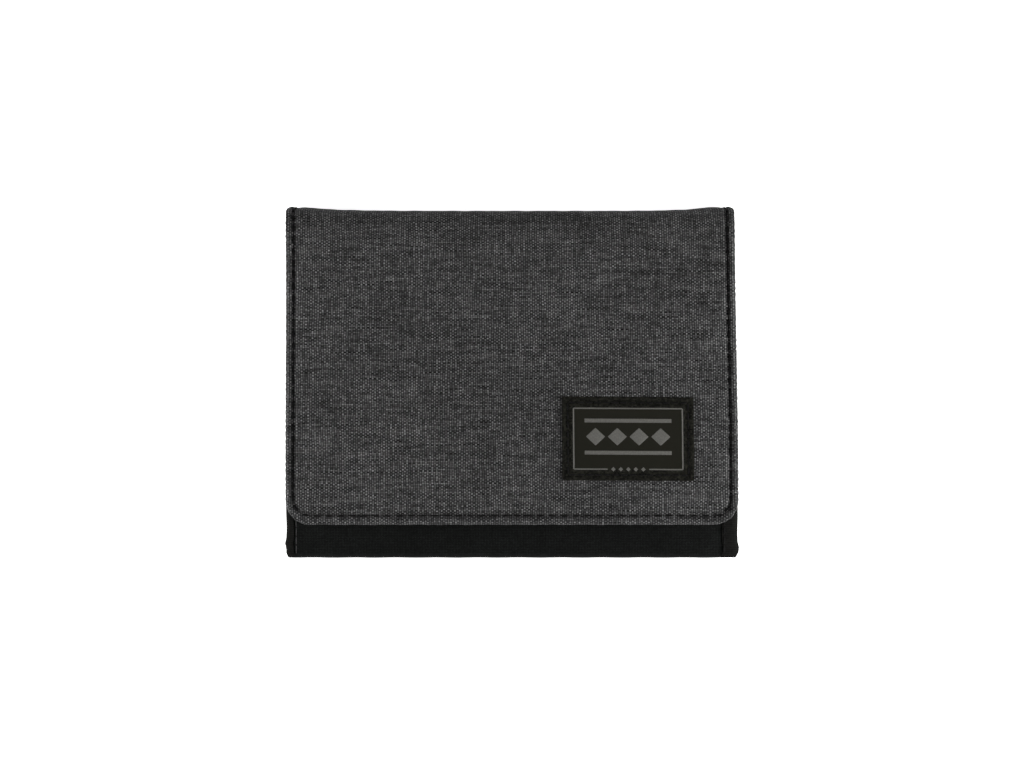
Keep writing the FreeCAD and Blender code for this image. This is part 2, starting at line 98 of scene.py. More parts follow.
def cover_level(node):
    """Lowest and highest level above the upper fold line, across the cover."""
    return cover_span(node, COVER_OUT)


def cover_reach(node):
    """Nearest and farthest distance from the upper fold line, along the cover."""
    return cover_span(node, COVER_ALONG)


# ---- How the cloth lies: small settled shapes that every neighbouring layer shares ----

FOLD_END_RADIUS = 1.2
FOLD_END_START = SPINE_Y - FOLD_END_RADIUS


def ease(value):
    value = np.clip(value, 0, 1)
    return value * value * (3 - 2 * value)


def fold_sag(x, y):
    """How far the cloth of the fold is drawn in towards the middle of the wallet, in Y."""
    stiff_end = np.where(x < 0, 4.5, 6.5)
    softness = np.where(x < 0, 9.0, 7.0)
    from_side = np.maximum(HALF_WIDTH - np.abs(x) - stiff_end, 0)
    return (0.15 + 1.05 * (1 - np.exp(-from_side / softness))) * ease((y - 36) / 10)


def fold_pinch(x, y):
    """Plan shape of the wallet: the right side leans in towards the fold, whose ends are rounded."""
    lean = np.where(x > 0, 1.05 * np.clip((y + 32) / 78, 0, 1) ** 1.4, 0.0)
    turn = np.clip((y - FOLD_END_START) / FOLD_END_RADIUS, 0, 0.97)
    rounding = FOLD_END_RADIUS * (1 - np.sqrt(1 - turn ** 2))
    return x * (1 - (lean + rounding) / HALF_WIDTH)


def settled(x, y, z):
    """Points of the soft wallet for points of one with straight sides and a straight fold."""
    return np.stack([fold_pinch(x, y), y - fold_sag(x, y), z], axis=-1)


def cover_rise(x, v):
    """Lift of the front cover's layers: a slow wave, and a droop towards the three free edges."""
    from_edge = np.minimum(HALF_WIDTH - np.abs(x), COVER_LENGTH - v)
    droop = 0.8 * np.clip(1 - from_edge / 9, 0, 1) ** 2 + 0.5 * np.clip(1 - from_edge / 3.5, 0, 1) ** 2
    wave = 0.16 * np.sin(x / 17 + 0.6) * np.sin(v / 21 + 0.4) + 0.08 * np.sin(x / 9 - v / 13)
    return wave - droop * ease((v - 4) / 12)


def place_on_cover(x, v, level):
    """x across, v from the upper fold line towards the free edge, level up from the fold line."""
    w = level + cover_rise(x, v)
    y = FOLD_Y + v * COVER_ALONG[0] + w * COVER_OUT[0]
    z = COVER_HINGE_Z + v * COVER_ALONG[1] + w * COVER_OUT[1]
    return settled(x, y, z)


def place_on_rear(x, y, level):
    return settled(x, y, level + 0 * x)


def turned(place):
    """The same placement with its two cloth coordinates exchanged."""
    return lambda x, v, level: place(v, x, level)


def from_below(place):
    """The same placement with its levels counted downwards."""
    return lambda x, v, level: place(x, v, -level)


# The outer face of the cloth shell follows one path from the middle of the spine to the free edge of
# the cover, and a second one from the middle of the spine to the bottom edge of the rear leaf.

COVER_BEND = 5.0
REAR_BEND = 4.0
FREE_EDGE_TURN = 0.45
FLARE = 0.25
PATH_PROBE = 50.0


def shell_path(side, distance):
    """Point (y, z) and outward normal on the shell's outer face, that far from the middle of the spine."""
    radius = COVER_BEND if side > 0 else REAR_BEND
    out_end = COVER_OUT if side > 0 else np.array([0.0, -1.0])
    along_end = COVER_ALONG if side > 0 else np.array([-1.0, 0.0])
    corner = np.array([FOLD_Y, COVER_HINGE_Z if side > 0 else REAR_HINGE_Z]) + FOLD_INSET * out_end
    centre_y = SPINE_Y - radius
    centre_z = corner[1] - side * (radius + side * (centre_y - corner[0]) * out_end[0]) / abs(out_end[1])
    centre = np.array([centre_y, centre_z])
    upright = abs(centre_z - SPINE_MIDDLE_Z)
    turn = math.pi / 2 + (SLOPE if side > 0 else 0)
    angle = np.clip((distance - upright) / radius, 0, turn)
    normal = np.stack([np.cos(angle), side * np.sin(angle)], axis=-1)
    run = np.maximum(distance - upright - radius * turn, 0)
    rise = np.minimum(distance, upright)
    point = centre + radius * normal + run[..., None] * along_end
    point[..., 1] += side * (rise - upright)
    return point, normal


def shell_length(side):
    """Path length from the middle of the spine to the shell's far edge."""
    probe = shell_path(side, np.array([PATH_PROBE]))[0][0]
    if side < 0:
        return PATH_PROBE + probe[0] - BOTTOM
    reach = (probe - np.array([FOLD_Y, COVER_HINGE_Z])) @ COVER_ALONG
    return PATH_PROBE + COVER_LENGTH - FREE_EDGE_TURN - reach


COVER_PATH = shell_length(1)
REAR_PATH = shell_length(-1)


def place_on_shell(side):
    """Placement for shell cloth: x across, s along the path, level out from the outer face."""

    def place(x, s, level):
        point, normal = shell_path(side, s)
        if side > 0:
            v = s - COVER_PATH + COVER_LENGTH - FREE_EDGE_TURN
            level = level + cover_rise(x, v) * ease((v - 2) / 8)
            x = x * (1 + FLARE / HALF_WIDTH * ease((v - 20) / 50))
        return settled(x, point[..., 0] + normal[..., 0] * level, point[..., 1] + normal[..., 1] * level)

    return place


def shell_normal(side, sign=1):
    """Direction out of the shell at a place on its path; sign -1 points into the wallet."""

    def up(x, s):
        _, normal = shell_path(side, np.array([s]))
        return sign * np.array([0, normal[0, 0], normal[0, 1]])

    return up


# ---- Meshes ----


def add_object(name, data):
    made = bpy.data.objects.new(name, data)
    bpy.context.scene.collection.objects.link(made)
    return made


def add_mesh(name, points, faces, uvs=None):
    """A smooth mesh object from points in millimetres; uvs are per point, in millimetres of cloth."""
    mesh = bpy.data.meshes.new(name)
    mesh.from_pydata((np.asarray(points) * MM).tolist(), [], faces)
    if uvs is not None:
        layer = mesh.uv_layers.new(name="cloth")
        loops = np.empty(len(mesh.loops), dtype=np.int32)
        mesh.loops.foreach_get("vertex_index", loops)
        layer.data.foreach_set("uv", np.asarray(uvs, dtype=np.float32)[loops].ravel())
    work = bmesh.new()
    work.from_mesh(mesh)
    bmesh.ops.recalc_face_normals(work, faces=work.faces)
    work.to_mesh(mesh)
    work.free()
    mesh.polygons.foreach_set("use_smooth", [True] * len(mesh.polygons))
    return add_object(name, mesh)


def join(name, parts):
    """Several meshes made one."""
    work = bmesh.new()
    for part in parts:
        work.from_mesh(part.data)
    mesh = bpy.data.meshes.new(name)
    work.to_mesh(mesh)
    work.free()
    for part in parts:
        bpy.data.objects.remove(part)
    return add_object(name, mesh)


class Outline:
    """A rectangle with rounded corners in cloth coordinates, left to right and near to far.

    A butted outline meets another piece at its near edge, so its thickness isn't rounded off there.
    """

    def __init__(self, left, right, near, far, near_radius=0.4, far_radius=0.4, butted=False):
        self.left, self.right, self.near, self.far = left, right, near, far
        self.near_radius, self.far_radius = near_radius, far_radius
        self.butted = butted
        self.width, self.length = right - left, far - near
        self.middle_x, self.middle_v = (left + right) / 2, (near + far) / 2

    def depth(self, x, v):
        """Distance inwards from the outline."""
        if self.butted:
            v = np.maximum(v, self.middle_v)
        radius = np.where(v > self.middle_v, self.far_radius, self.near_radius)
        across = np.abs(x - self.middle_x) - self.width / 2 + radius
        along = np.abs(v - self.middle_v) - self.length / 2 + radius
        outside = np.hypot(np.maximum(across, 0), np.maximum(along, 0))
        return radius - outside - np.minimum(np.maximum(across, along), 0)

    def outward(self, x, v):
        """Unit direction towards the nearest edge."""
        step = 0.01
        across = self.depth(x - step, v) - self.depth(x + step, v)
        along = self.depth(x, v - step) - self.depth(x, v + step)
        direction = np.stack([across, along], axis=-1)
        return direction / np.maximum(np.linalg.norm(direction, axis=1), 1e-6)[:, None]

    def corners(self, inset=0.0):
        """The four corners, moved inwards, in the order near left, near right, far right, far left."""
        left, right, near, far = self.left + inset, self.right - inset, self.near + inset, self.far - inset
        return [(left, near), (right, near), (right, far), (left, far)]


def cover_outline(node, radius=1.0):
    """The outline of a front cover node, along the cover."""
    low, high = box_mm(node)
    return Outline(low[0], high[0], *cover_reach(node), radius, radius)


def rear_outline(node, radius):
    low, high = box_mm(node)
    return Outline(low[0], high[0], low[1], high[1], radius, radius)


RING_DEPTHS = [0, 0.03, 0.1, 0.22, 0.4, 0.65, 0.95, 1.3, 1.65, 1.95, 2.2, 2.45, 2.75, 3.1, 3.5, 4.0, 4.8, 6.0]
EDGE_MARGIN = 6.0
CORNER_FAN = 14
ON_EDGE = 1e-4
JOINT_EDGE = 0.05


def corner_reach(angle, margin, radius):
    """Distance from the inner corner to the rounded outer corner of a square of side margin."""
    direction = np.array([math.cos(angle), math.sin(angle)])
    straight = margin / max(direction)
    if straight * min(direction) <= margin - radius:
        return straight
    centre = np.array([margin - radius, margin - radius])
    along = direction @ centre
    return along + math.sqrt(max(along * along - centre @ centre + radius * radius, 0))


def edge_loop(points, columns, rows, outline, margin):
    """The grid's rim walked round once: each rim point's number with the place outside it on the outline."""
    near = list(range(columns))
    right = [row * columns + columns - 1 for row in range(rows)]
    far = [(rows - 1) * columns + column for column in reversed(near)]
    left = [row * columns for row in reversed(range(rows))]
    radii = (outline.near_radius, outline.far_radius, outline.far_radius, outline.near_radius)
    loop = []
    for inner, normal, radius in zip((near, right, far, left), ((0, -1), (1, 0), (0, 1), (-1, 0)), radii):
        normal = np.array(normal, float)
        loop += [(number, np.array(points[number]) + margin * normal) for number in inner]
        side = np.array([-normal[1], normal[0]])
        for step in range(1, CORNER_FAN):
            angle = math.pi / 2 * step / CORNER_FAN
            direction = math.cos(angle) * normal + math.sin(angle) * side
            reach = corner_reach(angle, margin, radius)
            loop.append((inner[-1], np.array(points[inner[-1]]) + reach * direction))
    return loop


def panel_grid(outline, spacing):
    """Flat mesh of an outline: rings that follow its edge and a square grid inside them."""
    widest = max(outline.near_radius, outline.far_radius)
    room = min(outline.width, outline.length) / 2
    margin = min(max(widest + 1.0, EDGE_MARGIN), room * 0.8)
    rings = [depth for depth in RING_DEPTHS if depth < margin * 0.9]
    columns = max(2, round((outline.width - 2 * margin) / spacing) + 1)
    rows = max(2, round((outline.length - 2 * margin) / spacing) + 1)
    xs = np.linspace(outline.left + margin, outline.right - margin, columns)
    vs = np.linspace(outline.near + margin, outline.far - margin, rows)
    points = [(x, v) for v in vs for x in xs]
    loop = edge_loop(points, columns, rows, outline, margin)
    count, start = len(loop), len(points)
    for depth in rings:
        for number, edge in loop:
            points.append(tuple(edge + (np.array(points[number]) - edge) * depth / margin))
    faces = []
    for row in range(rows - 1):
        for a in range(row * columns, row * columns + columns - 1):
            faces.append((a, a + 1, a + columns + 1, a + columns))
    for ring in range(len(rings)):
        for place in range(count):
            following = (place + 1) % count
            a, b = start + ring * count + place, start + ring * count + following
            if ring + 1 < len(rings):
                faces.append((a, b, b + count, a + count))
            elif loop[place][0] == loop[following][0]:
                faces.append((a, b, loop[place][0]))
            else:
                faces.append((a, b, loop[following][0], loop[place][0]))
    return np.array(points), faces, range(start, start + count)


def panel(name, outline, low, high, place, spacing=1.6, shape=None, pull=None):
    """A closed sheet between two levels with a rounded edge all the way round.

    shape(x, v, depth) gives extra height for the low and the high face, pull(x, v, depth) moves
    points in the plane of the cloth.
    """
    flat, faces, edge = panel_grid(outline, spacing)
    x, v = flat[:, 0], flat[:, 1]
    depth = outline.depth(x, v)
    low_more, high_more = shape(x, v, depth) if shape else (0 * x, 0 * x)
    centre, half = (low + high) / 2, (high - low) / 2
    middle = centre + (low_more + high_more) / 2 * (depth < ON_EDGE)
    roll = np.sqrt(1 - (1 - np.clip(depth / half, 0, 1)) ** 2)
    top = np.where(depth < ON_EDGE, middle, centre + (half + high_more) * roll)
    base = np.where(depth < ON_EDGE, middle, centre - (half - low_more) * roll)
    rolled = (half + (high_more - low_more) / 2) * (1 - roll)
    uvs = flat + outline.outward(x, v) * rolled[:, None]
    if pull:
        shift = pull(x, v, depth)
        x, v = x + shift[0], v + shift[1]
    upper = place(x, v, top)
    count = len(flat)
    inside = np.setdiff1d(np.arange(count), edge)
    renumber = np.arange(count)
    renumber[inside] = count + np.arange(len(inside))
    lower = place(x[inside], v[inside], base[inside])
    all_faces = faces + [tuple(int(renumber[i]) for i in reversed(face)) for face in faces]
    piece = add_mesh(name, np.vstack([upper, lower]), all_faces, np.vstack([uvs, uvs[inside]]))
    if outline.butted:
        from_joint = np.concatenate([flat[:, 1], flat[inside, 1]]) - outline.near
        for line in piece.data.edges:
            line.use_edge_sharp = bool(max(from_joint[list(line.vertices)]) < JOINT_EDGE)
    return piece


def unit_rows(vectors):
    return vectors / np.linalg.norm(vectors, axis=1)[:, None]


def travelled(points):
    """Length of a line up to each of its points."""
    return np.concatenate([[0], np.cumsum(np.linalg.norm(np.diff(points, axis=0), axis=1))])


def tubes(name, paths, ups, radius, sides=8, taper=0.55, flatten=0.8):
    """Short rounded threads along paths, each an array of points, merged into one mesh."""
    points, faces, uvs = [], [], []
    for path, up in zip(paths, ups):
        path = np.asarray(path, float)
        tangent = unit_rows(np.gradient(path, axis=0))
        across = unit_rows(np.cross(tangent, up))
        over = np.cross(across, tangent)
        count = len(path)
        place = np.linspace(-1, 1, count)
        width = radius * (taper + (1 - taper) * np.sqrt(np.clip(1 - place ** 2, 0, 1)))
        lengths = travelled(path)
        first = len(points)
        for ring in range(count):
            for step in range(sides):
                angle = 2 * math.pi * step / sides
                offset = across[ring] * math.cos(angle) + flatten * over[ring] * math.sin(angle)
                points.append(path[ring] + width[ring] * offset)
                uvs.append((lengths[ring], angle * radius))
        pairs = [(step, (step + 1) % sides) for step in range(sides)]
        for base in range(first, first + (count - 1) * sides, sides):
            faces += [(base + a, base + b, base + b + sides, base + a + sides) for a, b in pairs]
        for ring in (0, count - 1):
            tip = len(points)
            base = first + ring * sides
            points.append(path[ring] + tangent[ring] * width[ring] * (0.7 if ring else -0.7))
            uvs.append((lengths[ring], 0))
            faces += [(base + a, base + b, tip) if ring else (base + b, base + a, tip) for a, b in pairs]
    return add_mesh(name, np.array(points), faces, np.array(uvs))


# ---- Materials ----


class Value:
    """A number in a material's node tree; arithmetic on it adds the nodes that work it out."""

    # numpy's own numbers leave arithmetic with a Value to it
    __array_ufunc__ = None

    def __init__(self, recipe, socket):
        self.recipe, self.socket = recipe, socket

    def __add__(self, other):
        return self.recipe.math("ADD", self, other)

    def __sub__(self, other):
        return self.recipe.math("SUBTRACT", self, other)

    def __rsub__(self, other):
        return self.recipe.math("SUBTRACT", other, self)

    def __mul__(self, other):
        return self.recipe.math("MULTIPLY", self, other)

    def __truediv__(self, other):
        return self.recipe.math("DIVIDE", self, other)

    def floor(self):
        return self.recipe.math("FLOOR", self)

    def wave(self, length):
        """A sine of that wavelength."""
        return self.recipe.math("SINE", self * (2 * math.pi / length))

    def arch(self):
        """Half a sine over each whole number: the round back of a yarn."""
        return self.recipe.math("SINE", self.recipe.math("FRACT", self) * math.pi)

    def span(self, low, high, low_out, high_out):
        return self.recipe.node("ShaderNodeMapRange", (self, low, high, low_out, high_out))


class Recipe:
    """A node material with a Principled surface."""

    def __init__(self, name, roughness=0.9, **surface):
        self.material = bpy.data.materials.new(name)
        self.material.use_nodes = True
        self.tree = self.material.node_tree
        self.surface = self.tree.nodes["Principled BSDF"].inputs
        self.surface["Roughness"].default_value = roughness
        for key, value in surface.items():
            self.surface[key.replace("_", " ")].default_value = value

    def node(self, kind, inputs=(), output=0, **settings):
        made = self.tree.nodes.new(kind)
        for key, value in settings.items():
            setattr(made, key, value)
        for key, value in (inputs.items() if isinstance(inputs, dict) else enumerate(inputs)):
            self.feed(made.inputs[key], value)
        return Value(self, made.outputs[output])

    def feed(self, socket, value):
        if isinstance(value, Value):
            self.tree.links.new(value.socket, socket)
        elif value is not None:
            socket.default_value = value

    def math(self, operation, *values):
        return self.node("ShaderNodeMath", values, operation=operation)

    def cloth_axes(self):
        """The two cloth coordinates, in millimetres."""
        cloth = self.node("ShaderNodeUVMap", uv_map="cloth")
        split = self.node("ShaderNodeSeparateXYZ", (cloth,)).socket.node
        return Value(self, split.outputs[0]), Value(self, split.outputs[1])

    def vector(self, x, y, z=0.0):
        return self.node("ShaderNodeCombineXYZ", (x, y, z))

    def noise(self, vector, scale, detail=2.0, roughness=0.5):
        made = {"Vector": vector, "Scale": scale, "Detail": detail, "Roughness": roughness}
        return self.node("ShaderNodeTexNoise", made)

    def cloth_noise(self, u, v, seed, scale=1.0, detail=2.0, roughness=0.5):
        return self.noise(self.vector(u, v, seed), scale, detail, roughness)

    def random(self, u, v, seed):
        place = self.vector(u, v, seed)
        return self.node("ShaderNodeTexWhiteNoise", {"Vector": place}, noise_dimensions="3D")

    def mix(self, factor, first, second):
        return self.node("ShaderNodeMix", {0: factor, 6: first, 7: second}, 2, data_type="RGBA")

    def tint(self, colour, factor):
        """A colour multiplied by a number."""
        return self.node("ShaderNodeVectorMath", {0: colour[:3], "Scale": factor}, operation="SCALE")

    def finish(self, colour, height, depth_mm, strength, roughness=None):
        """Set the colour and the bumps; the roughness stays as it is unless given."""
        self.feed(self.surface["Base Color"], colour)
        self.feed(self.surface["Roughness"], roughness)
        bump = {"Strength": strength, "Distance": depth_mm * MM, "Height": height}
        self.feed(self.surface["Normal"], self.node("ShaderNodeBump", bump))
        return self.material


def plain_weave(u, v, warp_pitch, weft_pitch):
    """Over and under yarns of a plain weave: the warp mask, the yarn height and the two yarn numbers."""
    yarn_u, yarn_v = u / warp_pitch, v / weft_pitch
    number_u, number_v = yarn_u.floor(), yarn_v.floor()
    warp = u.recipe.math("MODULO", number_u + number_v + 20000.0, 2.0)
    arch_u, arch_v = yarn_u.arch(), yarn_v.arch()
    warp_height = arch_u * (arch_v * 0.55 + 0.45)
    weft_height = arch_v * (arch_u * 0.55 + 0.45)
    height = warp * warp_height + (1.0 - warp) * weft_height
    return warp, height, number_u, number_v


def grey(value, alpha=1.0):
    return (value, value, value, alpha)


def heather_cloth():
    """Light warp over dark weft, with slubs that lighten or darken yarns for a few millimetres, and painted
    shade down the sides of each yarn.
    """
    recipe = Recipe("heather_cloth", 0.95, Sheen_Weight=0.03, Sheen_Roughness=0.5, Specular_IOR_Level=0.1)
    straight_u, straight_v = recipe.cloth_axes()
    drift_u = recipe.cloth_noise(straight_u, straight_v, 7.0, 0.09, 5.0, 0.75)
    drift_v = recipe.cloth_noise(straight_u, straight_v, 11.0, 0.11, 5.0, 0.75)
    u, v = drift_u * 1.3 + straight_u, drift_v + straight_v
    warp, height, number_u, number_v = plain_weave(u, v, 0.633, 0.425)
    cell = recipe.random(number_u, number_v, 3.0)
    warp_slub = recipe.cloth_noise(number_u * 7.31, v * 0.085, 0.0, 1.0, 3.0, 0.6)
    weft_slub = recipe.cloth_noise(u * 0.085, number_v * 5.17, 9.0, 1.0, 3.0, 0.6)
    rows = recipe.cloth_noise(u * 0.13, number_v * 3.71, 5.0)
    columns = recipe.cloth_noise(number_u * 4.39, v * 0.13, 6.0)
    cloud = recipe.cloth_noise(u, v, 4.0, 0.035)
    warp_light = warp * warp_slub.span(0.3, 0.7, 0.066, 0.122)
    weft_light = (1.0 - warp) * weft_slub.span(0.32, 0.68, 0.0, 0.082)
    level = (warp_light + weft_light) * cell.span(0.0, 0.8, 0.42, 1.2)
    level = level * rows.span(0.3, 0.7, 0.66, 1.26) * columns.span(0.3, 0.7, 0.8, 1.26)
    # The yarn height darkens each yarn towards its sides and in the gaps between yarns: painted shade; the
    # cloud factor is random tone.
    level = level * height.span(0.12, 0.88, 0.0, 1.25) * cloud.span(0.3, 0.7, 0.88, 1.12)
    return recipe.finish(recipe.tint(grey(1.0), level), height, 0.12, 0.8)


def nylon(name, base, warp_pitch=0.34, weft_pitch=0.26, contrast=0.5, roughness=0.62):
    """Fine plain weave of one dark colour with the soft gloss of nylon, and painted shade between the yarns.
    """
    recipe = Recipe(name, roughness, Specular_IOR_Level=0.04)
    u, v = recipe.cloth_axes()
    warp, height, number_u, number_v = plain_weave(u, v, warp_pitch, weft_pitch)
    cell = recipe.random(number_u, number_v, 1.0)
    cloud = recipe.cloth_noise(u, v, 2.0, 0.12, 3.0)
    lattice = (u + v).wave(1.55) * (u - v).wave(1.55)
    # The yarn height darkens the gaps between yarns and lightens their tops: painted shade and painted light;
    # the cell factor is random tone.
    level = cell.span(0.0, 1.0, 1 - contrast, 1 + contrast) * height.span(0.0, 1.0, 0.5, 1.25)
    level = level * cloud.span(0.25, 0.75, 0.8, 1.2) * warp.span(0.0, 1.0, 0.85, 1.15)
    level = level * (lattice * 0.38 + 1.0)
    colour = recipe.tint((0.94 * base, 1.06 * base, base), level)
    shine = height.span(0.0, 1.0, min(roughness + 0.15, 1.0), roughness - 0.08)
    return recipe.finish(colour, height, 0.06, 0.7, shine)


def ribbed_tape(name, base, pitch=0.5):
    """Grosgrain: ribs across the tape, each broken by the fine yarns that bind it."""
    recipe = Recipe(name, 0.8, Specular_IOR_Level=0.04)
    u, v = recipe.cloth_axes()
    height = (v / pitch).arch() * ((u / 0.3).arch() * 0.4 + 0.6)
    fluff = recipe.cloth_noise(u, v, 5.0, 1.4, 3.0)
    # The rib height darkens the grooves between the ribs: painted shade; the fluff factor is random tone.
    level = height.span(0.0, 1.0, 0.35, 1.3) * fluff.span(0.3, 0.7, 0.7, 1.3)
    return recipe.finish(recipe.tint((base, base, 0.9 * base), level), height, 0.1, 0.8)


def twisted_thread(name, base):
    """Sewing thread with its slanting plies."""
    recipe = Recipe(name, 0.7, Specular_IOR_Level=0.08)
    u, v = recipe.cloth_axes()
    ply = (u * 2.6 + v * 1.8).arch()
    fluff = recipe.cloth_noise(u, v, 1.0, 3.0)
    # The ply height darkens the grooves between the plies: painted shade; the fluff factor is random tone.
    level = ply.span(0.0, 1.0, 0.4, 1.2) * fluff.span(0.3, 0.7, 0.75, 1.25)
    return recipe.finish(recipe.tint(grey(base), level), ply, 0.06, 0.8)


def pile(name, base, scale):
    """Short loops or hooks seen from a distance: a rough, deep speckle, painted lighter on each tuft and with
    painted shade between the tufts.
    """
    recipe = Recipe(name, 0.95, Specular_IOR_Level=0.12)
    u, v = recipe.cloth_axes()
    cells = {"Vector": recipe.vector(u, v), "Scale": scale}
    height = 1.0 - recipe.node("ShaderNodeTexVoronoi", cells, feature="F1")
    # Colour follows the tuft height: painted light on the tufts, painted shade in the hollows between them.
    return recipe.finish(recipe.tint(grey(base), height.span(0.2, 1.0, 0.3, 1.6)), height, 0.35, 1.0)


def dark_metal():
    """Dark plating, a little worn where hands rub it."""
    recipe = Recipe("dark_plated_metal", 0.32, Metallic=1.0)
    place = recipe.node("ShaderNodeTexCoord", output=3)
    rub = recipe.noise(place, 900.0, 4.0, 0.6)
    colour = recipe.mix(rub.span(0.4, 0.75, 0.0, 1.0), grey(0.16), grey(0.22))
    return recipe.finish(colour, recipe.noise(place, 3500.0), 0.01, 0.3, rub.span(0.3, 0.7, 0.24, 0.42))


def moulded_nylon(name, base):
    """Satin nylon, as in the zip's monofilament."""
    recipe = Recipe(name, 0.38)
    grain = recipe.noise(recipe.node("ShaderNodeTexCoord", output=3), 2200.0)
    colour = recipe.mix(grain.span(0.35, 0.65, 0.0, 1.0), grey(base * 0.8), grey(base * 1.3))
    return recipe.finish(colour, grain, 0.01, 0.4)


def clear_film():
    """Soft clear vinyl: mostly see-through, with a faint haze and small ripples."""
    recipe = Recipe("clear_film", 0.12, IOR=1.45, Alpha=0.13)
    u, v = recipe.cloth_axes()
    ripple = recipe.cloth_noise(u, v, 0.0, 0.09)
    colour = recipe.mix(ripple.span(0.3, 0.7, 0.0, 1.0), grey(0.42), grey(0.52))
    return recipe.finish(colour, ripple, 0.6, 0.5, ripple.span(0.3, 0.7, 0.08, 0.2))


WEFT_LINE = 0.18


def label_field(half_width, half_height, border):
    """Damask label: a coarse woven border round a smoother field, with fine lines of weft."""
    recipe = Recipe("label_cloth", 0.75, Specular_IOR_Level=0.05)
    u, v = recipe.cloth_axes()
    from_side = half_width - recipe.math("ABSOLUTE", u)
    from_end = half_height - recipe.math("ABSOLUTE", v)
    inside = recipe.math("MINIMUM", from_side, from_end).span(border - 0.15, border + 0.15, 0.0, 1.0)
    _, coarse, number_u, number_v = plain_weave(u, v, 0.5, 0.42)
    cell = recipe.random(number_u, number_v, 8.0)
    fluff = recipe.cloth_noise(u, v, 3.0, 1.1, 3.0, 0.6)
    line = (v / WEFT_LINE).arch()
    level = cell.span(0.0, 1.0, 0.2, 1.8) * fluff.span(0.3, 0.7, 0.5, 1.5)
    edge_colour = recipe.tint((0.0072, 0.0072, 0.0054), level)
    # The field is darker between its weft lines, after the same line height as the bump: painted shade.
    field_colour = recipe.tint((0.0096, 0.0094, 0.0066), line.span(0.0, 1.0, 0.8, 1.15))
    height = (1.0 - inside) * coarse + inside * line * 0.25
    return recipe.finish(recipe.mix(inside, edge_colour, field_colour), height, 0.09, 0.8)


def label_lines():
    """The grey weft that draws the label's frame line and ornament."""
    recipe = Recipe("label_thread", 0.7, Specular_IOR_Level=0.15)
    u, v = recipe.cloth_axes()
    line = (v / WEFT_LINE).arch()
    # Darker between the weft lines, after the line height: painted shade; the noise is random tone.
    level = line.span(0.0, 1.0, 0.7, 1.15) * recipe.cloth_noise(u, v, 0.0, 2.0).span(0.3, 0.7, 0.85, 1.15)
    return recipe.finish(recipe.tint((0.087, 0.0855, 0.078), level), line, 0.03, 0.6)


HEATHER = heather_cloth()
NYLON = nylon("black_nylon", 0.0049)
LINING = nylon("lining_cloth", 0.0115, 0.3, 0.3, 0.35, 0.8)
TAPE = ribbed_tape("edge_tape", 0.0058)
ZIP_TAPE = ribbed_tape("zip_tape_cloth", 0.011, 0.42)
THREAD = twisted_thread("dark_thread", 0.0035)
PANEL_THREAD = twisted_thread("grey_thread", 0.036)
LOOP_PILE = pile("closure_loop_pile", 0.011, 2.2)
HOOK_PILE = pile("closure_hook_pile", 0.013, 1.7)
METAL = dark_metal()
COIL = moulded_nylon("zip_coil_nylon", 0.013)
FILM = clear_film()
LABEL_LINE = label_lines()
BOARD = moulded_nylon("board_plastic", 0.03)


def coat(piece, material):
    piece.data.materials.clear()
    piece.data.materials.append(material)


def dress(piece, material, slot, nodes=(), body=None):
    """Give a piece its material, the CAD nodes it stands for and the body it rides on; the record's slot is
    not used.
    """
    coat(piece, material)
    if nodes:
        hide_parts(*nodes)
    if body:
        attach(piece, body)
    return piece


def strip(name, outline, low, high, place, material, slot, nodes=(), body=None, spacing=2.4, shape=None):
    """A closed piece of cloth or tape with its material, its CAD nodes and the body it rides on."""
    return dress(panel(name, outline, low, high, place, spacing, shape), material, slot, nodes, body)


def declare(piece, outline, held, trims=(), **more):
    """Works out the width the cloth was cut to and keeps nothing; the narrow pieces sewn to it are not used.
    """
    outline.width * MM


# ---- Seams: where the stitches lie, and what they do to the cloth round them ----

PITCH = 3.25
STITCH = 1.9
INNER_PITCH = 2.6
INNER_STITCH = 2.0
SEAM_SIDE = 2.2
SEAM_END = 2.65
CORNER = 7.0


def straight_seam(start, end, pitch=INNER_PITCH, length=INNER_STITCH):
    """Ends of the stitches on a straight seam between two points of the cloth."""
    start, end = np.array(start, float), np.array(end, float)
    reach = np.linalg.norm(end - start)
    along = (end - start) / reach
    count = max(1, round(reach / pitch))
    step = reach / count
    firsts = [start + along * step * (number + 0.5) - along * length / 2 for number in range(count)]
    return [(first, first + along * length) for first in firsts]


def ring_seam(corners, pitch=INNER_PITCH, length=INNER_STITCH):
    """Ends of the stitches round a ring of corners."""
    sides = zip(corners, corners[1:] + corners[:1])
    return [stitch for start, end in sides for stitch in straight_seam(start, end, pitch, length)]


def seam_through(points):
    """Ends of the stitches along a line of many close points."""
    points = np.asarray(points, float)
    reach = travelled(points)
    count = max(1, round(reach[-1] / PITCH))
    starts = (np.arange(count) + 0.5) * reach[-1] / count - STITCH / 2
    at = lambda place: np.array([np.interp(place, reach, points[:, k]) for k in (0, 1)])
    return [(at(place), at(place + STITCH)) for place in starts]


def cover_seam_line():
    """Down the left side, round the free edge and up the right side, in shell coordinates."""
    left, right = -HALF_WIDTH + SEAM_SIDE, HALF_WIDTH - SEAM_SIDE
    far = COVER_PATH - SEAM_END
    radius = CORNER - (SEAM_SIDE + SEAM_END) / 2
    line = [(left, s) for s in np.arange(0, far - radius, 0.5)]
    for centre_x, first in ((left + radius, math.pi), (right - radius, math.pi / 2)):
        for angle in np.linspace(first, first - math.pi / 2, 12):
            line.append((centre_x + radius * math.cos(angle), far - radius + radius * math.sin(angle)))
        if first == math.pi:
            line += [(x, far) for x in np.arange(left + radius + 0.5, right - radius, 0.5)]
    line += [(right, s) for s in np.arange(far - radius, 0, -0.5)]
    return line


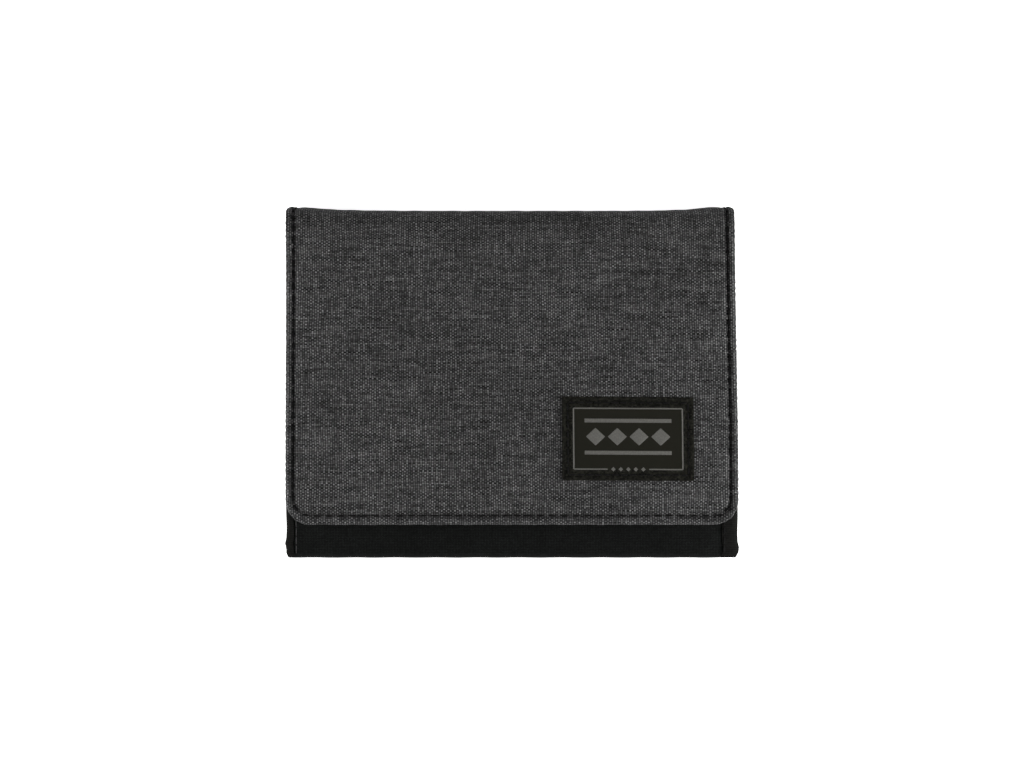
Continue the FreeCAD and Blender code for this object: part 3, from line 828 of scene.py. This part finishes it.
def nearest_squared(centres, x, v):
    """Squared distance to the nearest of some points."""
    near = np.full_like(x, 1e9)
    for centre in centres:
        near = np.minimum(near, (x - centre[0]) ** 2 + (v - centre[1]) ** 2)
    return near


def middles(stitches):
    return [(first + last) / 2 for first, last in stitches]


def seam_dip(stitches, x, v, width=0.6, depth=0.62):
    """How much the cloth is drawn down near a seam: most at the ends of each stitch."""
    near = nearest_squared([end for stitch in stitches for end in stitch], x, v)
    line = np.minimum(near, nearest_squared(middles(stitches), x, v))
    return depth * np.exp(-near / width ** 2) + 0.75 * depth * np.exp(-line / (1.45 * width) ** 2)


def sew(name, stitches, place, level, up, radius, material=THREAD, nodes=(), body=None):
    """One mesh of stitches that rise out of the cloth and dive back into it."""
    paths, ups = [], []
    for first, last in stitches:
        share = np.linspace(0, 1, 7)
        line = first + (last - first) * share[:, None]
        lift = level + 0.32 * radius * np.sin(math.pi * share) - 1.1 * radius * np.abs(2 * share - 1) ** 4
        paths.append(place(line[:, 0], line[:, 1], lift))
        ups.append(up(line[3, 0], line[3, 1]) if callable(up) else np.array(up, float))
    return dress(tubes(name, paths, ups, radius), material, "thread", nodes, body)


# ---- Cloth shell: two pieces that meet in the middle of the spine ----

COVER_TOP_Z = COVER_HINGE_Z + FOLD_INSET
COVER_BLEND = ((0, SPINE_Y * MM, (COVER_TOP_Z - COVER_BEND) * MM),
               (0, (SPINE_Y - COVER_BEND) * MM, COVER_TOP_Z * MM))
BUTTED_RADIUS = 0.02


def bend_over(piece, side):
    """Bake the placement of a piece that crosses a fold line into its mesh; nothing lets it bend between the
    spine and its leaf.
    """
    if side > 0:
        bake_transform(piece)
    else:
        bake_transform(piece)


def shell_shape(stitches, length, edge_end):
    """Hem, seam and slight swell of the cloth; the hem is three layers thick and the rest is one."""

    def shape(x, s, depth):
        side = HALF_WIDTH - np.abs(x)
        from_edge = np.minimum(side, length - s) if edge_end else side
        hem = ease((3.6 - from_edge) / 1.6)
        puff = 0.55 * np.sin(np.clip(from_edge / SEAM_SIDE, 0, 1) * math.pi) ** 0.7
        puff = puff * (0.35 + 0.65 * ease((s - 8) / 8))
        ripple = 0.05 * np.sin(x * 0.9 + s * 0.35) * np.sin(s * 0.8 - x * 0.2)
        return -0.75 * hem, puff + ripple * ease(from_edge / 4) - seam_dip(stitches, x, s)

    return shape


def edge_pucker(stitches, length, edge_end):
    """Each stitch draws the edge in a little, which leaves the hem softly scalloped."""

    def pull(x, s, depth):
        amount = 0.22 * np.exp(-nearest_squared(middles(stitches), x, s) / 7.0) * ease((3.0 - depth) / 3.0)
        side = HALF_WIDTH - np.abs(x)
        fuzz = (0.05 * np.sin(3.1 * s + 0.7 * x) + 0.04 * np.sin(1.7 * x - 4.3 * s)) * np.exp(-depth / 0.4)
        inward_x = np.where(side < 5.5, -np.sign(x), 0) * (amount + fuzz)
        inward_s = np.where((length - s < 5.5) & edge_end, -1.0, 0) * (amount + fuzz)
        return inward_x, inward_s

    return pull


def turn_weave(piece, turn):
    """Run the weave another way along a piece, by two rows of factors on its cloth coordinates."""
    cloth = piece.data.uv_layers["cloth"].data
    places = np.empty(2 * len(cloth), dtype=np.float32)
    cloth.foreach_get("uv", places)
    cloth.foreach_set("uv", (places.reshape(-1, 2) @ np.array(turn, dtype=np.float32).T).ravel())
    return piece


def make_shell():
    side_x = HALF_WIDTH - SEAM_SIDE
    cover_stitches = seam_through(cover_seam_line())
    rear_stitches = [stitch for x in (-side_x, side_x)
                     for stitch in straight_seam((x, 0), (x, REAR_PATH - 3), PITCH, STITCH)]
    leaves = (("cover", 1, COVER_PATH, CORNER, 0.8, cover_stitches, ("cover_shell", "spine_shell")),
              ("rear", -1, REAR_PATH, 1.2, 1.0, rear_stitches, ("rear_shell",)))
    for leaf, side, length, radius, spacing, stitches, nodes in leaves:
        outline = Outline(-HALF_WIDTH, HALF_WIDTH, 0, length, BUTTED_RADIUS, radius, butted=True)
        cloth = panel(f"{leaf}_cloth", outline, -CLOTH, 0, place_on_shell(side), spacing,
                      shell_shape(stitches, length, side > 0), edge_pucker(stitches, length, side > 0))
        if side < 0:
            turn_weave(cloth, ((1, 0), (0, -1)))
        bend_over(dress(cloth, HEATHER, "heather_cloth", nodes), side)
        declare(cloth, outline, "folded")
    for leaf, side, length, radius, spacing, stitches, nodes in leaves:
        covered = ("cover_stitching",) if side > 0 else ()
        seam = sew(f"{leaf}_seam", stitches, place_on_shell(side), -0.2, shell_normal(side), 0.24,
                   nodes=covered)
        bend_over(seam, side)


# ---- Inner layers that cross the folds: linings and the inner wall of the bill compartment ----


def sewn_edges(outline, lift, reach):
    """Shape of a layer whose left and far edges are drawn against the layer above it."""

    def shape(x, v, depth):
        gap = np.minimum(x - outline.left, outline.far - v)
        more = lift * ease((reach - gap) / reach)
        return more, more

    return shape


def make_crossing_layers(cover_trims):
    """Linings and inner walls run through the fold; the trims are sewn to the cover's wall."""
    layers = (
        ("lining_cloth", "lining", "spine_lining", 2.3, 0.5, LINING, "lining_cloth"),
        ("inner_wall", "inner_panel", "spine_inner_web", 1.25, 0.8, NYLON, "black_nylon"),
    )
    for ending, node_ending, spine_node, inset, rear_radius, material, slot in layers:
        low, high = (level - FOLD_INSET for level in cover_level(f"cover_{node_ending}"))
        for leaf, side, length in (("cover", 1, COVER_PATH), ("rear", -1, REAR_PATH)):
            outline = Outline(-HALF_WIDTH + inset, HALF_WIDTH - inset, 0, length - inset, BUTTED_RADIUS,
                              CORNER - inset if side > 0 else rear_radius, butted=True)
            nodes = (f"{leaf}_{node_ending}", spine_node)[:2 if side > 0 else 1]
            is_wall = ending == "inner_wall"
            piece = strip(f"{leaf}_{ending}", outline, low, high, place_on_shell(side), material, slot, nodes,
                          shape=sewn_edges(outline, 0.5, 3.5) if is_wall else None)
            bend_over(piece, side)
            declare(piece, outline, "folded", cover_trims if is_wall and side > 0 else ())


def make_boards():
    """The thin stiffeners between cloth and lining."""
    outline = cover_outline("cover_stiffener", 3.0)
    strip("cover_board", outline, *cover_level("cover_stiffener"), place_on_cover, BOARD, "board",
          ("cover_stiffener",), "front_cover", 4.0)
    low, high = box_mm("rear_stiffener")
    strip("rear_board", rear_outline("rear_stiffener", 3.0), low[2], high[2], place_on_rear, BOARD, "board",
          ("rear_stiffener",), "rear_leaf", 4.0)


# ---- Rear leaf: coin pocket, edge tapes, zip and the soft half of the closure ----

COIN_LOW, COIN_HIGH = box_mm("coin_pocket_front")
BAND_LOW, BAND_HIGH = box_mm("coin_pocket_top_band")
COIN_TOP = COIN_HIGH[2]
POCKET_TURN = 1.7
POCKET_INSET = 0.45
POCKET_OVERHANG = 0.3
TAPE_TURN = 1.3
TAPE_THICK = 0.45
LEFT_SEAM = 2.65
TAPE_SEAM = 0.8
ZIP_SEAM = 1.6
UP = (0, 0, 1)
DOWN = (0, 0, -1)


def side_share(x):
    """0 inside, rising to 1 at the wallet's sides."""
    return np.clip(1 - (HALF_WIDTH - np.abs(x)) / 10, 0, 1)


def coin_fall(x, y):
    """How far the coin pocket's face drops towards the seams at the bottom and the sides."""
    to_bottom = np.clip(1 - (y - BOTTOM) / 13, 0, 1)
    wave = 0.12 * np.sin(x / 11 + 1.0) * np.sin(y / 9)
    return 1.3 * to_bottom ** 2 + 0.8 * side_share(x) ** 2 + wave


def place_on_coin(x, y, level):
    """On the coin pocket's face: level up from its outer side."""
    return np.stack([fold_pinch(x, y), y, COIN_TOP + level - coin_fall(x, y)], axis=-1)


def place_on_zip(x, y, level):
    """On the zip's tapes, which sink with the coin pocket towards its sides."""
    return place_on_rear(x, y, level - 0.8 * side_share(x) ** 2)


def wrap_down(straight, radius, distance, level):
    """Path that runs straight, turns down through a quarter circle and goes on down: forward and height."""
    angle = np.clip((distance - straight) / radius, 0, math.pi / 2)
    drop = np.maximum(distance - straight - radius * math.pi / 2, 0)
    forward = np.minimum(distance, straight) + (radius + level) * np.sin(angle)
    height = (radius + level) * np.cos(angle) - radius - drop
    return forward, height


def wrap_length(straight, radius, height):
    return straight + radius * math.pi / 2 + height - radius


def pocket_hem(s):
    """The ridge of the turned hem beside the zip."""
    return 0.18 * np.exp(-(s - ZIP_SEAM) ** 2)


def make_coin_pocket(trims):
    start = COIN_HIGH[1]
    straight = start - BOTTOM + POCKET_OVERHANG - POCKET_TURN
    fall = coin_fall(np.array([0.0]), np.array([BOTTOM]))[0]
    half = HALF_WIDTH - POCKET_INSET
    thick = COIN_HIGH[2] - COIN_LOW[2]

    def place_front(x, s, level):
        forward, height = wrap_down(straight, POCKET_TURN, s, level)
        y = start - forward
        z = COIN_TOP + height - coin_fall(x, np.maximum(y, BOTTOM + POCKET_TURN * 0.3))
        return np.stack([fold_pinch(x, y), y, z], axis=-1)

    def front_shape(x, s, depth):
        ripple = 0.05 * np.sin(x * 0.55 + s * 0.12) * np.exp(-((s - straight) / 5.0) ** 2)
        return 0 * x, pocket_hem(s) + ripple

    reach = wrap_length(straight, POCKET_TURN, COIN_TOP - fall - CLOTH - 0.25)
    front = Outline(-half, half, 0, reach, 0.3, 0.8)
    face = strip("coin_pocket_face", front, -thick, 0, place_front, NYLON, "black_nylon",
                 ("coin_pocket_front", "bottom_edge_binding"), "rear_leaf", 1.8, front_shape)
    band_straight = BAND_HIGH[1] - BAND_LOW[1] - POCKET_TURN
    band_drop = BAND_HIGH[2] - box_mm("rear_inner_panel")[1][2] - 0.3

    def place_band(x, s, level):
        forward, height = wrap_down(band_straight, POCKET_TURN, s, level)
        y = BAND_LOW[1] + forward
        return settled(x, y, COIN_TOP + height - coin_fall(x, y))

    band_outline = Outline(-half, half, 0, wrap_length(band_straight, POCKET_TURN, band_drop))
    band = strip("coin_pocket_band", band_outline, -thick, 0, place_band, NYLON, "black_nylon",
                 ("coin_pocket_top_band",), "rear_leaf", 1.8, lambda x, s, depth: (0 * x, pocket_hem(s)))
    declare(face, front, "folded", [band, *trims])


def make_edge_tapes():
    """Tapes folded over the rear leaf's sides; the right one leaves the bill compartment's mouth open."""
    fall = coin_fall(np.array([HALF_WIDTH]), np.array([0.0]))[0]
    bottom = BOTTOM - 0.15
    pieces = []
    for name, side, bulge_at, tuck in (("left", -1, 3.6, 0.4), ("right", 1, 2.3, 0.0)):
        low, high = box_mm(f"binding_{name}")
        flange, lift = high[0] - low[0], high[2] - COIN_TOP

        def place(s, y, level, side=side, flange=flange, lift=lift, bulge_at=bulge_at):
            forward, height = wrap_down(flange - TAPE_TURN, TAPE_TURN, s, level)
            from_end = np.clip((y - bottom) / 1.2, 0, 1)
            bulge = 0.4 * np.exp(-((y - BOTTOM - bulge_at) / 1.1) ** 2)
            rough = 0.05 * np.sin(y * 4.1) + 0.04 * np.sin(y * 9.7 + 1)
            x = side * (HALF_WIDTH + 0.15 - flange + forward + bulge + rough - 0.6 * (1 - from_end) ** 2)
            fallen = coin_fall(x, y) * (1 - np.clip(-height / 4, 0, 1))
            return settled(x, y, COIN_TOP + lift + height - fallen)

        def wave(s, y, depth):
            return 0 * s, 0.06 * np.sin(y * 2 * math.pi / PITCH) * np.exp(-((s - 0.7) / 0.8) ** 2)

        reach = wrap_length(flange - TAPE_TURN, TAPE_TURN, high[2] - low[2] - fall + tuck)
        outline = Outline(0, reach, bottom, high[1] - 0.3, 0.5, 0.5)
        pieces.append(strip(f"{name}_edge_tape", outline, -TAPE_THICK, 0, place, TAPE, "edge_tape",
                            (f"binding_{name}",), "rear_leaf", 1.4, wave))
    return pieces


def make_rear_seams():
    """The seams beside the edge tapes and along both sides of the zip."""
    left_x = -HALF_WIDTH + LEFT_SEAM
    right_x = box_mm("binding_right")[0][0] + TAPE_SEAM
    low, high = BOTTOM + 0.9, box_mm("zip_tape_lower")[0][1] + 2
    reach = box_mm("zip_tape_lower")[1][0] - 1
    stitches = straight_seam((left_x, low), (left_x, high), 2.4, 2.3)
    left = sew("left_edge_seam", stitches, place_on_coin, 0.1, UP, 0.15, PANEL_THREAD,
               ("rear_leaf_stitching",), "rear_leaf")
    stitches = straight_seam((right_x, low), (right_x, high))
    right = sew("right_edge_seam", stitches, place_on_coin, 0.48, UP, 0.2, body="rear_leaf")
    stitches = []
    for y in (COIN_HIGH[1] - ZIP_SEAM, BAND_LOW[1] + ZIP_SEAM):
        stitches += straight_seam((-reach, y), (reach, y))
    zip_seam = sew("zip_seam", stitches, place_on_coin, 0.2, UP, 0.2, nodes=("zip_stitching",),
                   body="rear_leaf")
    return [left, right, zip_seam]


def coil_turns(node, side, pitch=1.6):
    """The turns of one zip coil: each a loop of monofilament that stands up and leans over the split."""
    low, high = box_mm(node)
    middle, half = (low + high) / 2, (high - low) / 2
    share = np.linspace(0, 1, 9)
    angle = share * 1.7 * math.pi + 0.15 * math.pi
    y = middle[1] + side * half[1] * -0.8 * np.cos(angle)
    z = middle[2] + half[2] * 0.72 * np.sin(angle)
    starts = low[0] + 0.25 + pitch * np.arange(round((high[0] - low[0]) / pitch))
    return [np.stack([x + 0.5 * share, y, z], axis=-1) for x in starts]


def make_zip():
    pieces = []
    for name, side in (("lower", -1), ("upper", 1)):
        low, high = box_mm(f"zip_tape_{name}")
        outline = Outline(low[0] - 5.2, high[0] + 4.2, low[1], high[1], 0.3, 0.3)
        pieces.append(strip(f"zip_tape_{name}_cloth", outline, low[2], high[2], place_on_zip, ZIP_TAPE,
                            "zip_tape", (f"zip_tape_{name}",), "rear_leaf", 2.0))
        paths = coil_turns(f"zip_coil_{name}", side)
        coil = tubes(f"zip_coil_{name}_turns", paths, [np.array([1.0, 0, 0])] * len(paths), 0.3, 6, 0.9, 1.0)
        pieces.append(dress(coil, COIL, "zip_coil", (f"zip_coil_{name}",), "rear_leaf"))
    return pieces


def tufts(name, outline, place, level, material, slot, body, spacing, make_path):
    """A field of small loops or hooks in staggered rows."""
    paths = []
    chance = np.random.default_rng(7)
    for row in range(int((outline.length - 1) / spacing)):
        for column in range(int((outline.width - 1) / spacing)):
            jitter = chance.uniform(-0.22, 0.22, 2) * spacing
            x = outline.left + 0.9 + spacing * (column + 0.5 * (row % 2)) + jitter[0]
            v = outline.near + 0.7 + spacing * row + jitter[1]
            across, along, height = make_path(chance)
            paths.append(place(x + across, v + along, level + height))
    ups = [np.array([0.3, 0.9, 0.1])] * len(paths)
    return dress(tubes(name, paths, ups, 0.13, 5, 0.8, 1.0), material, slot, body=body)


def make_loop_strip():
    outline = rear_outline("closure_loop_strip", 0.8)
    base = strip("closure_loop_base", outline, 0.02, 0.5, place_on_coin, LOOP_PILE, "closure_loop",
                 ("closure_loop_strip",), "rear_leaf", 1.6)

    def loop(chance):
        turn = chance.uniform(0, math.pi)
        share = np.linspace(0, math.pi, 6)
        reach = 0.42 * np.cos(share)
        return reach * math.cos(turn), reach * math.sin(turn), 0.5 * np.sin(share)

    loops = tufts("closure_loop_tufts", outline, place_on_coin, 0.45, THREAD, "closure_loop", "rear_leaf",
                  1.15, loop)
    return [base, loops]


# ---- Inside of the front cover: card pockets, window and the hooked half of the closure ----

FROM_BELOW = from_below(place_on_cover)


def sewn_pocket(outline):
    """Pocket cloth is sewn down on three sides and swells a little between the seams."""

    def shape(x, v, depth):
        gap = np.minimum(np.minimum(v - outline.near, outline.far - v), x - outline.left)
        swell = -0.16 * ease(gap / 9) + 0.22 * ease((2.4 - gap) / 2.4)
        return swell, swell

    return shape


def make_card_pockets():
    for node in ("card_pocket_back", "card_pocket_middle"):
        outline = cover_outline(node)
        levels = cover_level(node)
        cloth = strip(f"{node}_cloth", outline, *levels, place_on_cover, NYLON, "black_nylon", (node,),
                      "front_cover", 2.4, sewn_pocket(outline))
        tape = cover_outline(f"{node}_tape")
        low = cover_level(f"{node}_tape")[0] - 0.05
        mouth_outline = Outline(tape.near, tape.far, tape.left, tape.right + 0.3, 0.3, 0.4)
        mouth = strip(f"{node}_mouth", mouth_outline, low, levels[1] + 0.05, turned(place_on_cover), TAPE,
                      "edge_tape", (f"{node}_tape",), "front_cover", 1.6)
        stitches = []
        for x in (tape.left + 0.9, tape.right - 0.8):
            stitches += straight_seam((x, tape.near + 1), (x, tape.far - 1))
        seam = sew(f"{node}_seam", stitches, FROM_BELOW, -low - 0.02, DOWN, 0.18, PANEL_THREAD,
                   body="front_cover")
        declare(cloth, outline, "stretched", [mouth, seam])


FILM_OVERLAP = 2.0
CORNER_LAP = 0.4


def make_window():
    outline = cover_outline("id_window_frame")
    low, high = cover_level("id_window_frame")
    film_outline = cover_outline("id_window", 2.0)
    border = film_outline.left - outline.left + FILM_OVERLAP
    left, right, near, far = outline.left, outline.right, outline.near, outline.far
    parts = []
    for number, band in enumerate((Outline(left, right, near, near + border, 0.6, 0.4),
                                   Outline(left, right, far - border, far, 0.4, 0.6))):
        parts.append(panel(f"window_border_{number}", band, low, high, place_on_cover, 2.4))
    for number, side in enumerate((left, right - border)):
        upright = Outline(near + border - CORNER_LAP, far - border + CORNER_LAP, side, side + border)
        parts.append(panel(f"window_upright_{number}", upright, low + 0.03, high,
                           turned(place_on_cover), 2.4))
    border_piece = dress(join("window_border", parts), NYLON, "black_nylon", ("id_window_frame",),
                         "front_cover")
    film = strip("window_film", film_outline, *cover_level("id_window"), place_on_cover, FILM, "window_film",
                 ("id_window",), "front_cover", 2.0)
    stitches = ring_seam(outline.corners(1.3)) + ring_seam(outline.corners(border - 1.0))
    seam = sew("window_seam", stitches, FROM_BELOW, -low - 0.02, DOWN, 0.18, PANEL_THREAD, body="front_cover")
    frame_area = 2 * border * (outline.width + outline.length - 2 * border)
    declare(border_piece, outline, "stretched", [seam], area=frame_area * MM * MM)
    declare(film, film_outline, "stretched")


def make_hook_strip():
    outline = cover_outline("closure_hook_strip", 0.8)
    high = cover_level("closure_hook_strip")[1]
    base = strip("closure_hook_base", outline, high - 0.4, high - 0.02, place_on_cover, HOOK_PILE,
                 "closure_hook", ("closure_hook_strip",), "front_cover", 1.6)

    def hook(chance):
        lean = chance.choice((-1, 1))
        share = np.linspace(0, 1, 6)
        return 0 * share, lean * 0.28 * np.sin(share * 2.6), -0.5 * np.sin(share * 2.2)

    hooks = tufts("closure_hooks", outline, place_on_cover, high - 0.38, COIL, "closure_hook", "front_cover",
                  1.25, hook)
    return [base, hooks]


def make_cover_inside_seam():
    """Where the cover's seam comes through on the inner wall."""
    low = cover_level("cover_inner_panel")[0] - FOLD_INSET
    stitches = seam_through([point for point in cover_seam_line() if point[0] < HALF_WIDTH - 8])
    inner_side = from_below(place_on_shell(1))
    seam = sew("cover_inside_seam", stitches, inner_side, -low - 0.48, shell_normal(1, -1), 0.22)
    bend_over(seam, 1)
    return seam


# ---- Woven label ----

LABEL_THICK = 0.55
LABEL_TOP = LABEL_THICK - 0.06
WEAVE_LOW, WEAVE_HIGH = LABEL_TOP - 0.05, LABEL_TOP + 0.07
LINE_WIDTH = 0.4
UPRIGHT_RAISED = 0.005
LINE_BREAK = 11.6
MOTIF_COUNT, MOTIF_PITCH = 4, 6.1
MOTIF_WIDE, MOTIF_TALL, MOTIF_RISE = 5.4, 5.0, 0.6
MOTIF_BAR, MOTIF_BAR_AWAY = 1.1, 4.5
MARK_COUNT, MARK_PITCH, MARK_SIZE = 5, 2.1, 1.3


def diamond(name, place, middle, wide, tall):
    """One flat diamond whose weave runs the same way as the label's."""

    def place_diamond(a, b, height):
        return place(middle[0] + (a - b) * wide / 2, middle[1] + (a + b) * tall / 2, height)

    piece = panel(name, Outline(-0.5, 0.5, -0.5, 0.5, 0.03, 0.03), WEAVE_LOW, WEAVE_HIGH, place_diamond, 0.25)
    return turn_weave(piece, ((wide / 2, -wide / 2), (tall / 2, tall / 2)))


def woven_line(name, place, left, right, middle, width, raised=0.0):
    """A raised line of weft that runs from left to right."""
    outline = Outline(left, right, middle - width / 2, middle + width / 2, 0.1, 0.1)
    return panel(name, outline, WEAVE_LOW, WEAVE_HIGH + raised, place, 1.0)


def label_ornament(place, inner_v):
    """Four diamonds between two bars, and a row of small marks where the frame line stops."""
    parts = []
    for number in range(MOTIF_COUNT):
        middle = MOTIF_PITCH * (number - (MOTIF_COUNT - 1) / 2), MOTIF_RISE
        parts.append(diamond(f"diamond_{number}", place, middle, MOTIF_WIDE, MOTIF_TALL))
    for number in range(MARK_COUNT):
        middle = MARK_PITCH * (number - (MARK_COUNT - 1) / 2), -inner_v
        parts.append(diamond(f"mark_{number}", place, middle, MARK_SIZE, MARK_SIZE))
    reach = MOTIF_PITCH * MOTIF_COUNT / 2
    for number, side in enumerate((-1, 1)):
        middle = MOTIF_RISE + side * MOTIF_BAR_AWAY
        parts.append(woven_line(f"bar_{number}", place, -reach, reach, middle, MOTIF_BAR))
    return parts


def label_frame(place, inner_x, inner_v):
    """The frame line: one line above, two below with a break between them, and two uprights."""
    spans = ((1, -inner_x, inner_x), (-1, -inner_x, -LINE_BREAK / 2), (-1, LINE_BREAK / 2, inner_x))
    parts = []
    for number, (side, left, right) in enumerate(spans):
        parts.append(woven_line(f"line_{number}", place, left, right, side * inner_v, LINE_WIDTH))
    for number, side in enumerate((-1, 1)):
        parts.append(woven_line(f"upright_{number}", turned(place), -inner_v, inner_v, side * inner_x,
                                LINE_WIDTH, UPRIGHT_RAISED))
    return parts


def make_label():
    low, high = box_mm("label_base")
    near, far = cover_reach("label_base")
    middle_x, middle_v = (low[0] + high[0]) / 2, (near + far) / 2
    half_width, half_height = (high[0] - low[0]) / 2, (far - near) / 2
    border = box_mm("label_frame_line")[0][0] - low[0]
    level = cover_level("label_base")[0]
    askew, shrink = math.radians(0.3), 0.985

    def place(x, v, height):
        across = middle_x + shrink * x - askew * v
        return place_on_cover(across, middle_v - shrink * v + askew * x, level + height)

    outline = Outline(-half_width, half_width, -half_height, half_height, 0.35, 0.35)
    stitches = ring_seam(outline.corners(border * 0.5), 2.5, STITCH)

    def shape(x, v, depth):
        dip = seam_dip(stitches, x, v, 0.5, 0.22)
        fray = 0.05 * np.sin(x * 3.1) * np.sin(v * 2.7) * np.exp(-depth / 1.2)
        field = 0.06 * ease((depth - border + 0.4) / 0.8)
        return 0 * x, fray - dip - field

    cloth = label_field(half_width, half_height, border)
    patch = strip("label_patch", outline, -0.05, LABEL_THICK, place, cloth, "label_cloth", ("label_base",),
                  "front_cover", 0.9, shape)
    inner_x, inner_v = half_width - border, half_height - border
    frame_line = dress(join("label_frame", label_frame(place, inner_x, inner_v)), LABEL_LINE, "label_thread",
                       ("label_frame_line",), "front_cover")
    motif = dress(join("label_ornament", label_ornament(place, inner_v)), LABEL_LINE, "label_thread",
                  ("label_motif",), "front_cover")
    seam = sew("label_seam", stitches, place, LABEL_THICK - 0.12, UP, 0.2, nodes=("label_stitching",),
               body="front_cover")
    declare(patch, outline, "stretched", [frame_line, motif, seam])


make_shell()
make_crossing_layers([*make_hook_strip(), make_cover_inside_seam()])
make_boards()
make_coin_pocket([*make_edge_tapes(), *make_rear_seams(), *make_zip(), *make_loop_strip()])
make_card_pockets()
make_window()
make_label()
for metal_node in ("zip_slider_body", "zip_pull_tab", "zip_stops"):
    coat(bpy.data.objects[metal_node], METAL)


# ---- Stage, lights and camera ----

HORIZON_LIGHT = 1.02
ZENITH_LIGHT = 0.18
HORIZON_Z, ZENITH_Z = 0.1, 0.6
FLOOR_REACH = 900
FLOOR_Z = -0.2
WALLET_SHARE = 0.4424
LENS_MM = 180
SENSOR_MM = 36
WALLET_TOP_M = 0.012


def make_stage():
    """A pale floor, lit from below like a light table so that it stays white round the wallet."""
    ends = ((-1, -1), (1, -1), (1, 1), (-1, 1))
    floor = add_mesh("floor", [(FLOOR_REACH * x, FLOOR_REACH * y, FLOOR_Z) for x, y in ends], [(0, 1, 2, 3)])
    paint = Recipe("pale_floor", 0.9, Base_Color=grey(0.9), Emission_Color=grey(1.0), Emission_Strength=0.85)
    floor.data.materials.append(paint.material)


def add_light(name, place, size, power):
    """A rectangular lamp that shines at the wallet's middle."""
    lamp = bpy.data.lights.new(name, "AREA")
    lamp.shape = "RECTANGLE"
    lamp.size, lamp.size_y = size
    lamp.energy = power
    holder = add_object(name, lamp)
    holder.location = place
    holder.visible_camera = False
    holder.rotation_euler = (-Vector(place)).to_track_quat("-Z", "Y").to_euler()


def make_lights():
    """White walls all round, a darker ceiling and soft lamps."""
    world = bpy.data.worlds.new("studio")
    world.use_nodes = True
    tree = world.node_tree
    background = tree.nodes["Background"]
    background.inputs["Color"].default_value = grey(1.0)
    place = tree.nodes.new("ShaderNodeTexCoord")
    split = tree.nodes.new("ShaderNodeSeparateXYZ")
    fade = tree.nodes.new("ShaderNodeMapRange")
    fade.interpolation_type = "SMOOTHSTEP"
    for socket, value in zip(fade.inputs[1:5], (HORIZON_Z, ZENITH_Z, HORIZON_LIGHT, ZENITH_LIGHT)):
        socket.default_value = value
    tree.links.new(place.outputs["Generated"], split.inputs[0])
    tree.links.new(split.outputs["Z"], fade.inputs[0])
    tree.links.new(fade.outputs[0], background.inputs["Strength"])
    bpy.context.scene.world = world
    add_light("overhead", (0.05, -0.1, 0.9), (0.8, 0.8), 0.3)
    add_light("front", (0.1, -0.9, 0.22), (0.9, 0.3), 1.1)
    add_light("right", (0.3, -0.06, 0.08), (0.12, 0.3), 2.1)
    add_light("left", (-0.3, -0.02, 0.08), (0.12, 0.3), 1.65)
    bpy.context.scene.view_settings.view_transform = "Standard"


def make_camera():
    """Straight above the wallet, with the long lens of a product photograph."""
    camera = bpy.data.cameras.new("camera")
    camera.lens = LENS_MM
    camera.sensor_width = SENSOR_MM
    frame_width = 2 * HALF_WIDTH * MM / WALLET_SHARE
    holder = add_object("camera", camera)
    holder.location = (0.0, 0.0, frame_width * LENS_MM / SENSOR_MM + WALLET_TOP_M)
    bpy.context.scene.camera = holder


make_stage()
make_lights()
make_camera()
